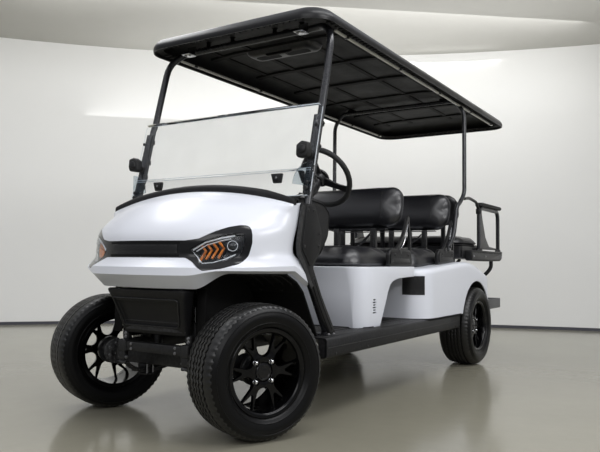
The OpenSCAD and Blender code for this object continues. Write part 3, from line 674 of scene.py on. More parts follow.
FINISHES = {
    "paint": lambda n: finish(n, chosen("paint"), 0.34, second=scaled(chosen("paint"), 0.965), coat=0.35,
                              coat_rough=0.18, tone=(1.3, 0.3), dust=0.04, uneven=0.03),
    "plastic": lambda n: finish(n, chosen("plastic"), 0.46, grain=(900, 0.10), wear=0.08, dust=0.02,
                                reach=0.7, shine=0.3),
    "satin_plastic": lambda n: finish(n, chosen("plastic"), 0.32, grain=(1400, 0.05), wear=0.1, dust=0.02,
                                      shine=0.45),
    "gloss_black": lambda n: finish(n, rgb(11, 11, 13), 0.14, coat=0.2, uneven=0.03, shine=0.35),
    # Near black. Used for a few real dark parts, and as painted shade: dark sheets and strips in slots,
    # pockets, grooves, wells, gaps and behind vents, where the real part is dark only from shade.
    "dark_cavity": lambda n: finish(n, rgb(9, 9, 10), 0.6, grain=(500, 0.1), shine=0.15),
    "liner": lambda n: finish(n, rgb(11, 11, 12), 0.55, grain=(500, 0.15), dust=0.02, shine=0.25),
    "steel": lambda n: finish(n, rgb(26, 27, 29), 0.36, metal=0.1, grain=(1600, 0.04), wear=0.2, dust=0.04,
                              shine=0.4),
    "strut": lambda n: finish(n, rgb(34, 35, 39), 0.25, metal=0.2, grain=(1700, 0.02), wear=0.12,
                              shine=0.7),
    "chassis": lambda n: finish(n, rgb(20, 20, 21), 0.42, grain=(700, 0.05), wear=0.08, dust=0.02,
                                reach=0.9, shine=0.35),
    "bare_steel": lambda n: finish(n, rgb(150, 150, 152), 0.38, metal=0.9, brushed=0.03, dust=0.12),
    "bright": lambda n: finish(n, rgb(214, 215, 218), 0.14, metal=1.0, brushed=0.01),
    "vinyl": lambda n: finish(n, chosen("vinyl"), 0.33, grain=(900, 0.05), creases=0.3, tone=(5.0, 0.4),
                              shine=0.8),
    "thread": lambda n: finish(n, rgb(22, 22, 23), 0.7, grain=(2500, 0.1)),
    "wheel": lambda n: finish(n, rgb(5, 5, 6), 0.12, coat=0.12, uneven=0.03, shine=0.22),
    "rubber": lambda n: finish(n, rgb(7, 7, 8), 0.34, grain=(800, 0.04), dust=0.003, reach=0.7, shine=0.22),
    "tread": lambda n: finish(n, rgb(17, 17, 17), 0.34, grain=(600, 0.12), dust=0.05, reach=0.6, shine=0.5),
    "soft_rubber": lambda n: finish(n, rgb(26, 26, 27), 0.6, grain=(900, 0.1)),
    "mat": lambda n: finish(n, rgb(26, 26, 27), 0.5, grain=(500, 0.2), dust=0.06, reach=1.2),
    "canopy": lambda n: finish(n, rgb(16, 16, 18), 0.34, grain=(420, 0.08), dust=0.0, shine=0.4),
    "canopy_under": lambda n: finish(n, rgb(30, 30, 31), 0.6, grain=(260, 0.5), tone=(6.0, 0.7), shine=0.3),
    "lamp_bowl": lambda n: finish(n, rgb(44, 45, 48), 0.28, metal=0.5, tone=(30, 0.5)),
    "lamp_lines": lambda n: finish(n, rgb(225, 228, 232), 0.2, metal=0.2, tone=(40, 0.3)),
    "amber": lambda n: finish(n, rgb(214, 128, 52), 0.3, second=rgb(150, 80, 30), coat=0.3, tone=(60, 0.8)),
    "red_lens": lambda n: finish(n, rgb(150, 22, 20), 0.18, second=rgb(96, 10, 10), coat=0.6,
                                 tone=(50, 0.7)),
    "led_strip": lambda n: finish(n, rgb(226, 226, 220), 0.4, tone=(25, 0.3)),
    "battery": lambda n: finish(n, rgb(58, 60, 64), 0.5, grain=(500, 0.1), dust=0.3),
    "foot_plate": lambda n: finish(n, rgb(86, 87, 89), 0.45, grain=(700, 0.1), wear=0.3, dust=0.2,
                                   reach=1.0),
    "screen": lambda n: finish(n, rgb(20, 24, 28), 0.08, coat=0.7, tone=(20, 0.4)),
    "clear": lambda n: clear_finish(n, (0.975, 0.985, 0.99, 1.0)),
    "lens": lambda n: clear_finish(n, (0.93, 0.94, 0.95, 1.0), 0.0, 0.01),
    "smoke": lambda n: clear_finish(n, (0.62, 0.68, 0.72, 1.0), 0.05, 0.03),
    # Painted highlight: a pale colour for the bright edges of the clear panes, which come from light caught
    # in the acrylic edges.
    "clear_edge": lambda n: finish(n, rgb(206, 214, 222), 0.25, tone=(14, 0.3)),
}


def material(name):
    """The material of a finish, made the first time it is asked for."""
    label = name.replace("_", " ").title()
    return bpy.data.materials.get(label) or FINISHES[name](label)


def dress(nodes, name):
    """Gives carried-over CAD nodes a finish in their own material slots."""
    for node in nodes:
        slots = frame["nodes"][node].data.materials
        if not slots:
            slots.append(material(name))
        for i in range(len(slots)):
            slots[i] = material(name)


# ---------------------------------------------------------------- front bodywork

# Each row of the front bodywork from its lip up: centre y and z, side x and z, end y and z, and the power
# with which it rises to the side.
COWL_ROWS = [
    (-250, 640, 575, 710, 262, 645, 0), (-320, 700, 600, 722, 250, 664, 0),
    (-315, 735, 602, 745, 226, 702, 8),
    (-262, 775, 590, 775, 190, 762, 8), (-255, 818, 587, 815, 149, 805, 6),
    (-250, 866, 586, 872, 150, 866, 6),
    (-225, 912, 586, 898, 158, 896, 3), (-170, 975, 586, 918, 167, 930, 2),
    (-90, 1040, 586, 942, 174, 966, 2),
    (0, 1078, 586, 985, 182, 1002, 2), (110, 1110, 588, 1030, 190, 1040, 2),
    (262, 1076, 588, 1076, 262, 1076, 2)]
ARC_SHARE = 0.85
CORNER_Y = 130.0
COWL_COLUMNS = 104
COWL_STEPS = 4
LIP_ROWS = 2
SHELL = 5.0

# Outlines as seen from the front, [x, z]: the black mask of one lamp with half of the strip, and its lens.
LAMP_MASK = [(0, 853), (170, 853), (243, 853), (301, 861), (361, 894), (406, 914), (446, 924), (474, 921),
             (490, 905), (498, 880), (500, 846), (491, 792), (474, 754), (425, 733), (352, 722), (330, 736),
             (290, 760), (247, 779), (160, 779), (0, 779)]
LENS = [(264, 816), (329, 856), (391, 879), (446, 891), (470, 888), (478, 872), (474, 824), (460, 788),
        (409, 763), (348, 748), (318, 758)]


def cowl_point(row, t):
    """A point of one row; t runs from 0 at the middle to 1 at the side's end."""
    centre_y, centre_z, side_x, side_z, end_y, end_z, power = row
    bend = math.sin(math.pi / 2 * min(t / ARC_SHARE, 1.0))
    x = side_x * bend
    corner = max(CORNER_Y, centre_y)
    if t >= ARC_SHARE:
        share = (t - ARC_SHARE) / (1 - ARC_SHARE)
        return Vector((x, corner + (end_y - corner) * share, side_z + (end_z - side_z) * share))
    k = min(max((x - 285) / 140, 0), 1)
    rise = bend ** power if power else k * k * (3 - 2 * k)
    y = corner - (corner - centre_y) * math.cos(math.pi / 2 * t / ARC_SHARE)
    return Vector((x, y, centre_z + (side_z - centre_z) * rise))


def cowl_grid(first=0, last=11, reach=1.0):
    """Rows of points of the front bodywork, smooth above the lip, with the pressed-in flank."""
    columns = []
    for j in range(COWL_COLUMNS + 1):
        u = (2 * j / COWL_COLUMNS - 1) * reach
        line = [cowl_point(row, abs(u)) for row in COWL_ROWS]
        for point in line:
            point.x *= -1 if u < 0 else 1
        flat = [line[i] + (line[i + 1] - line[i]) * (k / COWL_STEPS) for i in range(LIP_ROWS)
                for k in range(COWL_STEPS)]
        column = flat + spread(line[LIP_ROWS:], COWL_STEPS)
        for point in column:
            point.x -= math.copysign(flank_depth(point), point.x)
        columns.append(column)
    return [[column[i] for column in columns] for i in range(first * COWL_STEPS, last * COWL_STEPS + 1)]


def flank_depth(point):
    """How far the flank is pressed in above the crease that runs back from the lamp."""
    along = min(max((point.y + 60) / 160, 0), 1)
    crease = 782 - 10 * along
    above = point.z - crease
    if above < 0 or abs(point.x) < 400:
        return 0.0
    return 13 * along * min(above / 26, 1) * math.exp(-(max(above - 26, 0) / 120) ** 2)


def front_surface():
    """A tree for finding the bodywork's front at a given x and z."""
    rows = cowl_grid()
    w = len(rows[0])
    points = [tuple(p) for row in rows for p in row]
    faces = [(i * w + j, i * w + j + 1, (i + 1) * w + j + 1, (i + 1) * w + j)
             for i in range(len(rows) - 1) for j in range(w - 1)]
    return BVHTree.FromPolygons(points, faces)


def on_front(tree, x, z, depth=0.0):
    """The point of the bodywork's front at x and z, set back by depth along the surface's own normal."""
    hit, normal = tree.ray_cast(Vector((x, -600, z)), Vector((0, 1, 0)))[:2]
    if hit is None:
        hit, normal = tree.find_nearest(Vector((x, -200, z)))[:2]
    if normal.y > 0:
        normal = -normal
    return hit - normal * depth


def front_sheet(tree, low, high, depth, thickness, steps):
    """A patch of the bodywork's front over a box in x and z, set back by depth."""
    across = [low[0] + (high[0] - low[0]) * j / steps[0] for j in range(steps[0] + 1)]
    up = [low[1] + (high[1] - low[1]) * i / steps[1] for i in range(steps[1] + 1)]
    rows = [[on_front(tree, x, z, depth) for x in across] for z in up]
    return shell(rows, 0.0, thickness)


def flip(outline):
    """The mirror image of an outline in x."""
    return [(-p[0], p[1]) for p in reversed(outline)]


def full_mask(margin=0.0):
    """The outline of both lamp masks and the strip between them."""
    half = LAMP_MASK[1:-1]
    return inset(round_corners(half + flip(half), 9, 3), margin)


def fine_outline(outline, gap=14.0):
    """An outline with points added so that none are further apart than gap."""
    out = []
    for a, b in zip(outline, outline[1:] + outline[:1]):
        a, b = Vector(a).to_2d(), Vector(b).to_2d()
        n = max(1, math.ceil((b - a).length / gap))
        out += [tuple(a + (b - a) * k / n) for k in range(n)]
    return out


def build_front_cowl():
    """The white cowl, the black mask with its strip, and what sits in and under them."""
    tree = front_surface()
    rows = cowl_grid(0, 10)
    mask = prism(full_mask(-1.5), -420, -10, "y")
    skin = carve(shell(rows, 0.0, SHELL), [mask])
    Shape().add(skin, "paint").piece("front_cowl_shell", slot="painted_white", replaces=["front_cowl"],
                                     sharp=24)

    body = Shape()
    windows = [round_corners(LENS, 10, 4), flip(round_corners(LENS, 10, 4))]
    sheet = front_sheet(tree, (-520, 700), (520, 940), 2.0, 7.0, (88, 24))
    cutters = [prism(w, -420, 20, "y") for w in windows]
    mask_part = carve(carve(sheet, [prism(full_mask(), -420, 20, "y")], "INTERSECT"), cutters)
    body.add(mask_part, "gloss_black")
    # Painted shade: two dark strips on the grille strip stand for its slots, which look black only from the
    # shade inside them.
    for low, high in ((841, 848), (784, 792)):
        body.add(front_sheet(tree, (-215, low), (215, high), -0.6, 4.0, (44, 2)), "dark_cavity")
    body.add(front_sheet(tree, (-206, 797), (206, 836), -0.3, 4.0, (44, 4)), "satin_plastic")
    body.piece("grille_strip", slot="black_gloss", replaces=["grille_bar"], sharp=30)
    build_lamps(tree)
    build_bumper()
    build_liner_trim()


def lamp_wall(tree, outline, near, far):
    """The side wall of a lamp bowl, between two depths behind the front."""
    out = fine_outline(outline, 12)
    return loft([[on_front(tree, x, z, d) for x, z in out] for d in (near, far)], ends=False)


def lamp_strip(tree, line, width, depth, thick=2.5):
    """A light guide that follows a line of [x, z] points behind the lens."""
    path = [on_front(tree, x, z, depth) for x, z in line]
    half = width / 2
    return tube(path, 1, section=[(-half, -thick), (half, -thick), (half, thick), (-half, thick)])


def build_lamps(tree):
    """Both lamps: bowl, light guides, turn arrows, eye and lens."""
    bowls, lenses = Shape(), Shape()
    outline = round_corners(LENS, 10, 4)
    inner = inset(outline, 1.0)
    for side in (1, -1):
        edge = outline if side > 0 else flip(outline)
        bowls.add(lamp_wall(tree, edge, 3.0, 32.0), "lamp_bowl")
        low, high = (255, 740), (486, 900)
        if side < 0:
            low, high = (-486, 740), (-255, 900)
        back = carve(front_sheet(tree, low, high, 30.0, 3.0, (26, 18)), [prism(edge, -420, 40, "y")],
                     "INTERSECT")
        bowls.add(back, "lamp_bowl")
        pane_low, pane_high = (low[0] + 4, low[1] + 4), (high[0] - 4, high[1] - 4)
        own = inner if side > 0 else flip(inner)
        lens = carve(front_sheet(tree, pane_low, pane_high, 1.0, 2.5, (30, 20)),
                     [prism(own, -420, 40, "y")], "INTERSECT")
        lenses.add(lens, "lens")
    bowls.pair(lamp_strip(tree, [(278, 812), (330, 846), (392, 867), (442, 878)], 4.5, 8.0), "lamp_lines")
    bowls.pair(lamp_strip(tree, [(292, 806), (334, 834), (392, 855), (430, 864)], 2.4, 12.0), "lamp_lines")
    bowls.pair(lamp_strip(tree, [(330, 759), (372, 763), (412, 775), (448, 795)], 3.6, 8.0), "lamp_lines")
    bowls.pair(lamp_strip(tree, [(274, 806), (300, 784), (328, 762)], 2.6, 9.0), "lamp_lines")
    for k in range(4):
        x = 322 + 24 * k
        low, high = 774 + 3 * k, 832 + 6 * k
        tip = (x + 10, (low + high) / 2 + 5)
        bowls.pair(lamp_strip(tree, [(x - 10, low), tip, (x - 10, high)], 9.0, 17.0, 3.5), "amber")
        bowls.pair(lamp_strip(tree, [(x + 1, low), (tip[0] + 11, tip[1]), (x + 1, high)], 3.0, 20.0, 2.0),
                   "lamp_bowl")
    centre = on_front(tree, 436, 832, 16.0)
    facing = on_front(tree, 436, 832, 0.0) - centre
    eye = aimed(centre, facing)
    bowls.pair(shifted(turned([(0, -8), (27, -8), (29, -4), (29, 3), (25, 4.5), (22, 1), (0, 1)], 40), eye),
               "lamp_bowl")
    bowls.pair(shifted(turned([(0, 1), (20, 1), (18, 6), (13, 10), (6, 12.5), (0, 13)], 40), eye), "screen")
    bowls.pair(shifted(turned([(21, 3), (23.5, 3), (23.5, 5), (21, 5)], 40, close=True), eye), "lamp_lines")
    bowls.piece("lamp_bowls", slot="black_gloss", replaces=["headlights"], sharp=30)
    lenses.piece("lamp_lenses", slot="clear", sharp=30)


def build_bumper():
    """The black front bumper: a tapered box with a rimmed recess and a pressed lower edge."""
    shape = Shape()
    # Height, half width, front, back and corner radius of each ring.
    sizes = [(419, 190, -144, -113, 10), (424, 197, -151, -112, 14), (470, 207.5, -169, -118, 20),
             (545, 225, -198, -128, 24), (600, 240, -219, -137, 26), (622, 246, -228, -140, 24),
             (629, 246, -228, -142, 24), (633, 240, -222, -146, 20)]
    recess = [(465, 180, -300, -158, 14), (500, 187, -300, -168, 14), (575, 201, -300, -197, 14)]

    def rings(rows, steps):
        """A solid through level outlines."""
        outlines = [round_rect((-half, front), (half, back), r, steps) for _, half, front, back, r in rows]
        return stacked(outlines, [row[0] for row in rows])

    shape.add(carve(rings(sizes, 5), [rounded(rings(recess, 4), 3, 2, 40)]), "plastic")
    for z, half, y in ((478, 176, -160.5), (552, 190, -181.0)):
        shape.add(block((-half, y - 4, z), (half, y + 8, z + 5), 2), "satin_plastic")
    lower = [(-196, -152, 447), (-120, -163, 447), (120, -163, 447), (196, -152, 447)]
    shape.add(strap(lower, 9, 2.5, 30), "satin_plastic")
    rim = [(x, -171 - (z - 470) * 0.385, z) for x, z in ((-172, 459), (172, 459), (204, 588), (-204, 588))]
    shape.add(tube(rim, 4.0, bend=22, sides=12, closed=True), "satin_plastic")
    # Painted shade: a dark block beside each end of the bumper fills the shaded gap behind it.
    shape.pair(block((238, -128, 416), (292, -122, 640), 2), "dark_cavity")
    for x in (-200, 200):
        shape.add(block((x - 18, -138, 385), (x + 18, -112, 425), 3), "chassis")
        for z in (395, 412):
            shape.add(bolt(6, 4), "bare_steel", aimed((x, -138, z), (0, -1, 0)))
    shape.piece("front_bumper_shell", slot="black_plastic", replaces=["front_bumper"], sharp=32)


def build_liner_trim():
    """Ribs and fasteners on the wheel arch liners, which keep their own shape."""
    dress(["wheel_arch_liners"], "liner")
    shape = Shape()
    roof_of_arch = [(-60, 722), (30, 717), (110, 712), (205, 670), (262, 622), (330, 511), (390, 412)]
    for x in (300, 360, 420, 480, 530):
        line = [(x, y + 6, z - 13) for y, z in roof_of_arch if y > -20 or x < 500]
        shape.pair(tube(line, 3.0, bend=30, sides=8), "plastic")
    for x, y, z in ((330, 150, 689), (450, 150, 689), (330, 240, 630), (450, 240, 630), (390, 350, 460)):
        shape.pair(button(9, 3), "satin_plastic", aimed((x, y, z), (0, -0.6, -0.8)))
    shape.piece("arch_liner_ribs", slot="black_plastic")


# ---------------------------------------------------------------- dash, kick panels and controls

DASH_HALF = 530.0
STEERING_RADIUS = 177.0
KICK_OUTLINE = [(190.5, 1040), (168.5, 936), (144.5, 842), (151.5, 806), (193.5, 763), (230, 703),
                (266, 646), (302, 598), (375, 493), (452, 409), (512, 409), (484, 450), (372, 600),
                (290, 735), (296, 750), (358, 818), (368, 905), (330, 988), (300, 1040)]
KICK_RAISED = [(226, 1033), (206, 936), (186, 846), (190, 818), (222, 784), (254, 742), (272, 746),
               (346, 824), (356, 902), (320, 980), (292, 1030)]
KICK_STRIP = [(178, 1030), (158, 936), (136.5, 842), (145, 801), (187, 756), (224, 697), (262, 645)]


def build_dash():
    """The dash with its moulded hood band, cup wells, pockets, switches and grab bar."""
    skin = [(262.5, 1076), (360, 1075), (500, 1062), (560, 1020), (548, 900), (470, 800), (400, 782),
            (160, 701), (156, 709), (398, 790), (464, 808), (540, 904), (551, 1016), (497, 1054),
            (360, 1067), (262.5, 1068)]
    skin = skin[:1] + round_corners(skin, 22, 4)[5:-5] + skin[-1:]
    tower = shifted(turned([(0, -420), (30, -420), (30, -180), (0, -180)], 32), column_move())
    well = turned([(0, 1040), (38, 1040), (38, 1090), (0, 1090)], 36)
    places = [(95, 450), (-95, 450), (-330, 445)]
    wells = [shifted(well, moved(x, y)) for x, y in places]
    shape = Shape()
    shape.add(carve(prism(skin, -DASH_HALF, DASH_HALF), [tower, *wells]), "plastic")
    for x, y in places:
        cup = turned([(35, 985), (38.5, 985), (38.5, 1062), (46, 1071.5), (46, 1074), (40, 1076),
                      (36.5, 1072), (34, 990), (0, 990), (0, 985)], 36)
        shape.add(cup, "satin_plastic", moved(x, y, -2))
    ends = [(262, 1074), (360, 1073), (500, 1060), (558, 1020), (546, 900), (468, 800), (400, 784),
            (300, 748), (262, 790)]
    for x in (DASH_HALF - 6, -DASH_HALF):
        shape.add(rounded(prism(round_corners(ends, 12, 3), x, x + 6), 1.2, 1), "plastic")
    shape.pair(block((530, 264, 1067), (551, 300, 1075), 2), "plastic")
    for low, high in ((-500, -150), (-60, 190)):
        frame_line = [(x, dash_face(z) + 3, z) for x, z in round_rect((low, 905), (high, 1000), 16, 4)]
        shape.add(tube(frame_line, 5, sides=8, closed=True), "satin_plastic")
        # Painted shade: a dark sheet on the dash face inside each pocket frame stands for the shaded inside
        # of the pocket.
        rows = [[Vector((low + (high - low) * i / 8, dash_face(z) + 1.5, z)) for i in range(8, -1, -1)]
                for z in (908, 952, 997)]
        shape.add(shell(rows, 0, 2), "dark_cavity")
    shape.add(tube([(-480, 548, 1016), (-480, 592, 1030), (-160, 592, 1030), (-160, 548, 1016)], 10, 40),
              "soft_rubber")
    for x in (-480, -160):
        shape.add(turned([(0, 0), (18, 0), (18, 4), (14, 8), (0, 8)], 24), "satin_plastic",
                  aimed((x, 549, 1015), (0, 1, 0.3)))
    at = dash_face(975)
    gauge = prism(round_rect((196, 945), (268, 1003), 10, 4), at - 2, at + 9, "y")
    shape.add(rounded(gauge, 2, 2), "satin_plastic")
    glass = prism(round_rect((204, 955), (260, 994), 6, 4), at + 8, at + 10, "y")
    shape.add(rounded(glass, 0.6, 1), "screen")
    for x, z in ((214, 915), (250, 915)):
        at = (x, dash_face(z), z)
        shape.add(turned([(0, 0), (12, 0), (12, 3), (9, 6), (0, 6)], 24), "bright",
                  aimed(at, (0, 1, -0.12)))
        shape.add(block((x - 2.5, at[1] + 5, z - 7), (x + 2.5, at[1] + 16, z + 7), 1.5), "satin_plastic")
    for k in range(3):
        x = 452 + 26 * k
        at = dash_face(965)
        shape.add(block((x - 10, at - 1, 948), (x + 10, at + 5, 982), 3), "satin_plastic")
        shape.add(block((x - 7, at + 4, 960), (x + 7, at + 9, 978), 2), "gloss_black")
    shape.piece("dash_body", slot="black_plastic", replaces=["dash_panel"], sharp=32)

    band = Shape()
    line = cowl_grid(10, 10, 0.90)[0]
    middle = cowl_grid(10, 11, 0.61)
    rows = []
    for back, up in ((2, -8), (2, 14), (5, 27), (12, 34), (22, 36), (34, 33), (46, 26)):
        rows.append([p + Vector((0, back * band_share(p), up * band_share(p, 0.72))) for p in line])
    band.add(shell(rows, 1.0, 6.0), "plastic")
    lid = [[p + Vector((0, 10, 12 - 2 * i)) for p in row] for i, row in enumerate(middle)]
    band.add(shell(lid, 0.0, 5.0), "plastic")
    edge = [p + Vector((0, 2, 1)) for p in middle[-1]]
    band.add(tube(edge, 6.5, sides=8), "soft_rubber")
    for x in (-280, 0, 280):
        band.add(button(8, 3), "satin_plastic", aimed((x, 235, on_band(middle, x, 235) + 1), (0, 0.25, 1)))
    band.piece("hood_band", slot="black_plastic", sharp=35)


def band_share(point, least=0.3):
    """How much of its full size the band has at a point: it narrows towards the struts."""
    share = min(max((abs(point.x) - 430) / 150, 0), 1)
    return 1 - (1 - least) * share


def on_band(rows, x, y):
    """Height of the hood band at x and y."""
    nearest = min((p for row in rows for p in row), key=lambda p: (p.x - x) ** 2 + (p.y - y) ** 2)
    return nearest.z


def dash_face(z):
    """How far back the dash face stands at a height."""
    return 548 + (z - 900) * 0.1


def column_move():
    """Puts +Z along the steering column, with the steering wheel's centre at its origin."""
    return aimed(STEERING_CENTRE, COLUMN_AXIS)


def build_kick_panels():
    """Side panels of the front bodywork: raised field, front strip and a cover for the strut's leg."""
    inner = cad_box("kick_panels")[1].x - 9.4
    shape = Shape()
    shape.pair(rounded(prism(round_corners(KICK_OUTLINE, 9, 3), inner, inner + 8.4), 1.5, 2), "plastic")
    shape.pair(rounded(prism(round_corners(KICK_RAISED, 14, 4), inner + 8, inner + 12), 2.4, 3), "plastic")
    strip = [(inner + 9.5, y + 12, z) for y, z in KICK_STRIP]
    shape.pair(strap(strip, 4.5, 12, 30), "satin_plastic")
    leg = [(inner + 9.5, y, z) for y, z in ((286, 690), (337, 599), (422, 480), (474, 418))]
    shape.pair(rounded(strap(leg, 4, 21, 60), 2.2, 2), "plastic")
    # Painted shade: a dark strip stands for the shaded groove along the leg cover.
    groove = [(inner + 13.6, y, z) for y, z in ((292, 682), (337, 605), (420, 488), (468, 428))]
    shape.pair(strap(groove, 0.8, 3, 60), "dark_cavity")
    for y, z in ((238, 1010), (286, 1010), (340, 900), (334, 840), (205, 838), (318, 634), (455, 448)):
        shape.pair(button(7, 2.4), "satin_plastic", aimed((inner + 12, y, z), (1, 0, 0)))
    shape.piece("kick_panel_shells", slot="black_plastic", replaces=["kick_panels"], sharp=35)


def build_steering():
    """The column with its shroud and stalk, the wheel and the two pedals."""
    move = column_move()
    dress(["steering_column"], "satin_plastic")
    shape = Shape()

    def ring(z, a, b, drop):
        """An oval round the column."""
        return [(a * math.cos(math.tau * k / 36), b * math.sin(math.tau * k / 36) + drop, z)
                for k in range(36)]

    shroud = [ring(-345, 30, 30, 0), ring(-340, 38, 36, 2), ring(-250, 44, 42, 3), ring(-120, 42, 40, 2),
              ring(-72, 36, 34, 0), ring(-62, 29, 28, 0), ring(-60, 20, 20, 0)]
    shape.add(loft(shroud), "satin_plastic", move)
    # Painted shade: dark rings stand for the shaded grooves round the shroud.
    for z in (-250, -120):
        shape.add(turned([(44, -1.2), (45.5, 0), (44, 1.2)], 36, close=True), "dark_cavity",
                  move @ moved(0, 2, z))
    stalk = tube([(36, 0, -128), (70, 0, -124), (128, 0, -108)], 5, 20, 10)
    shape.add(stalk, "satin_plastic", move)
    shape.add(turned([(0, -3), (8, -3), (10, 4), (10, 22), (7, 27), (0, 27)], 20), "soft_rubber",
              move @ aimed((128, 0, -108), (0.96, 0, 0.26)))
    shape.add(turned([(0, 0), (13, 0), (13, 5), (11, 7), (0, 7)], 24), "bright",
              move @ aimed((0, 42, -190), (0, 1, 0)))
    boot = [(0, 0), (52, 0), (50, 8), (44, 10), (46, 18), (40, 20), (42, 28), (36, 30), (37, 40), (30, 42),
            (0, 42)]
    shape.add(turned(boot, 36), "soft_rubber", move @ moved(0, 0, -386))
    shape.piece("column_shroud", slot="black_plastic", sharp=32)

    wheel = Shape()
    radius = STEERING_RADIUS
    rim = []
    sides = 20
    for k in range(96):
        a = math.tau * k / 96
        grip = 15.6 - 0.7 * (0.5 + 0.5 * math.cos(a * 24)) if k % 32 not in (0, 1, 31) else 15.9
        rim.append([((radius + grip * math.cos(math.tau * j / sides)) * math.cos(a),
                     (radius + grip * math.cos(math.tau * j / sides)) * math.sin(a),
                     grip * math.sin(math.tau * j / sides)) for j in range(sides)])
    wheel.add(looped([list(reversed(r)) for r in rim]), "soft_rubber")
    sizes = ((26, 27, 6), (70, 21, 6), (120, 17, 5), (156, 19, 5), (168, 24, 5))
    for a in (90, 210, 330):
        spoke = loft([[(x, y, z) for y, z in round_rect((-w, -t), (w, t), 2.4, 3)] for x, w, t in sizes])
        points = [(x, y, z - 13 + 13 * max(0, (x - 60) / 120) ** 2) for x, y, z in spoke[0]]
        wheel.add((points, spoke[1]), "satin_plastic", moved(turn=a))
        wheel.add(block((84, -6, -9.0), (140, 6, -4.0), 1.5), "bright", moved(turn=a))
    wheel.add(turned([(0, -42), (32, -42), (38, -36), (42, -12), (54, -8), (56, 0), (52, 6), (34, 10),
                      (12, 11), (0, 11)], 48), "satin_plastic")
    wheel.add(turned([(37, 9.0), (40, 9.6), (42, 8.0), (40, 6.4)], 48, close=True), "bright")
    wheel.add(turned([(0, -110), (10, -110), (10, -40), (0, -40)], 24), "bare_steel")
    wheel.points = [tuple(move @ Vector(point)) for point in wheel.points]
    wheel.piece("steering_wheel_rim", "steering_wheel", "black_plastic", ["steering_wheel"], sharp=35)

    pedals = Shape()
    for x, width in ((300, 38), (420, 52)):
        tilt = moved(x, 397, 400.4, math.degrees(math.atan2(222, -135)), "X")
        pad = rounded(prism(round_corners([(-width / 2, 55), (width / 2, 55), (width / 2 - 2, 165),
                                           (-width / 2 + 2, 165)], 7, 3), -40, -32, "z"), 1.5, 2)
        pedals.add(pad, "chassis", tilt)
        for k in range(7):
            y = 66 + 14.5 * k
            pedals.add(block((-width / 2 + 5, y - 3.5, -43.5), (width / 2 - 5, y + 3.5, -39), 1.4, 1),
                       "soft_rubber", tilt)
        pedals.add(block((-8, 95, -32.5), (8, 125, -0.4), 2), "chassis", tilt)
        pedals.add(bolt(5, 4), "bare_steel", tilt @ moved(0, 135, -32))
    pedals.piece("pedal_pads", slot="frame_steel", replaces=["pedals"])


# ---------------------------------------------------------------- roof, struts and windshield

ROOF_RIM_RISE = 96.0
ROOF_OUTER = [(0, 0), (-2, 22), (8, 44), (38, 68), (120, 86), (290, 96)]
ROOF_INNER = [(5, 0), (4, 22), (14, 40), (43, 63), (123, 81), (290, 91)]
STRUT_X = 571.0
SCREEN_LEAN = 0.254
STRUT_FRONT = [(STRUT_X, 466, 412), (STRUT_X, 220, 800), (STRUT_X, 282, 1062), (STRUT_X, 454, 1739),
               (566, 503, 1938), (500, 560, 2014), (420, 590, 2026)]


def roof_ring(inward, z, steps=12):
    """One ring of the roof, inward from its outline."""
    low = (-ROOF_HALF + 2 + inward, ROOF_FRONT + 2 + inward)
    high = (ROOF_HALF - 2 - inward, ROOF_BACK - 2 - inward)
    return [(x, y, z) for x, y in round_rect(low, high, max(140 - inward, 20), steps)]


def under_roof(x):
    """Height of the roof's underside at x."""
    inward = ROOF_HALF - 2 - abs(x)
    rim = ROOF_TOP - ROOF_RIM_RISE
    for (a, za), (b, zb) in zip(ROOF_INNER[1:], ROOF_INNER[2:]):
        if inward <= b:
            return rim + za + (zb - za) * max(inward - a, 0) / (b - a)
    return rim + ROOF_INNER[-1][1]


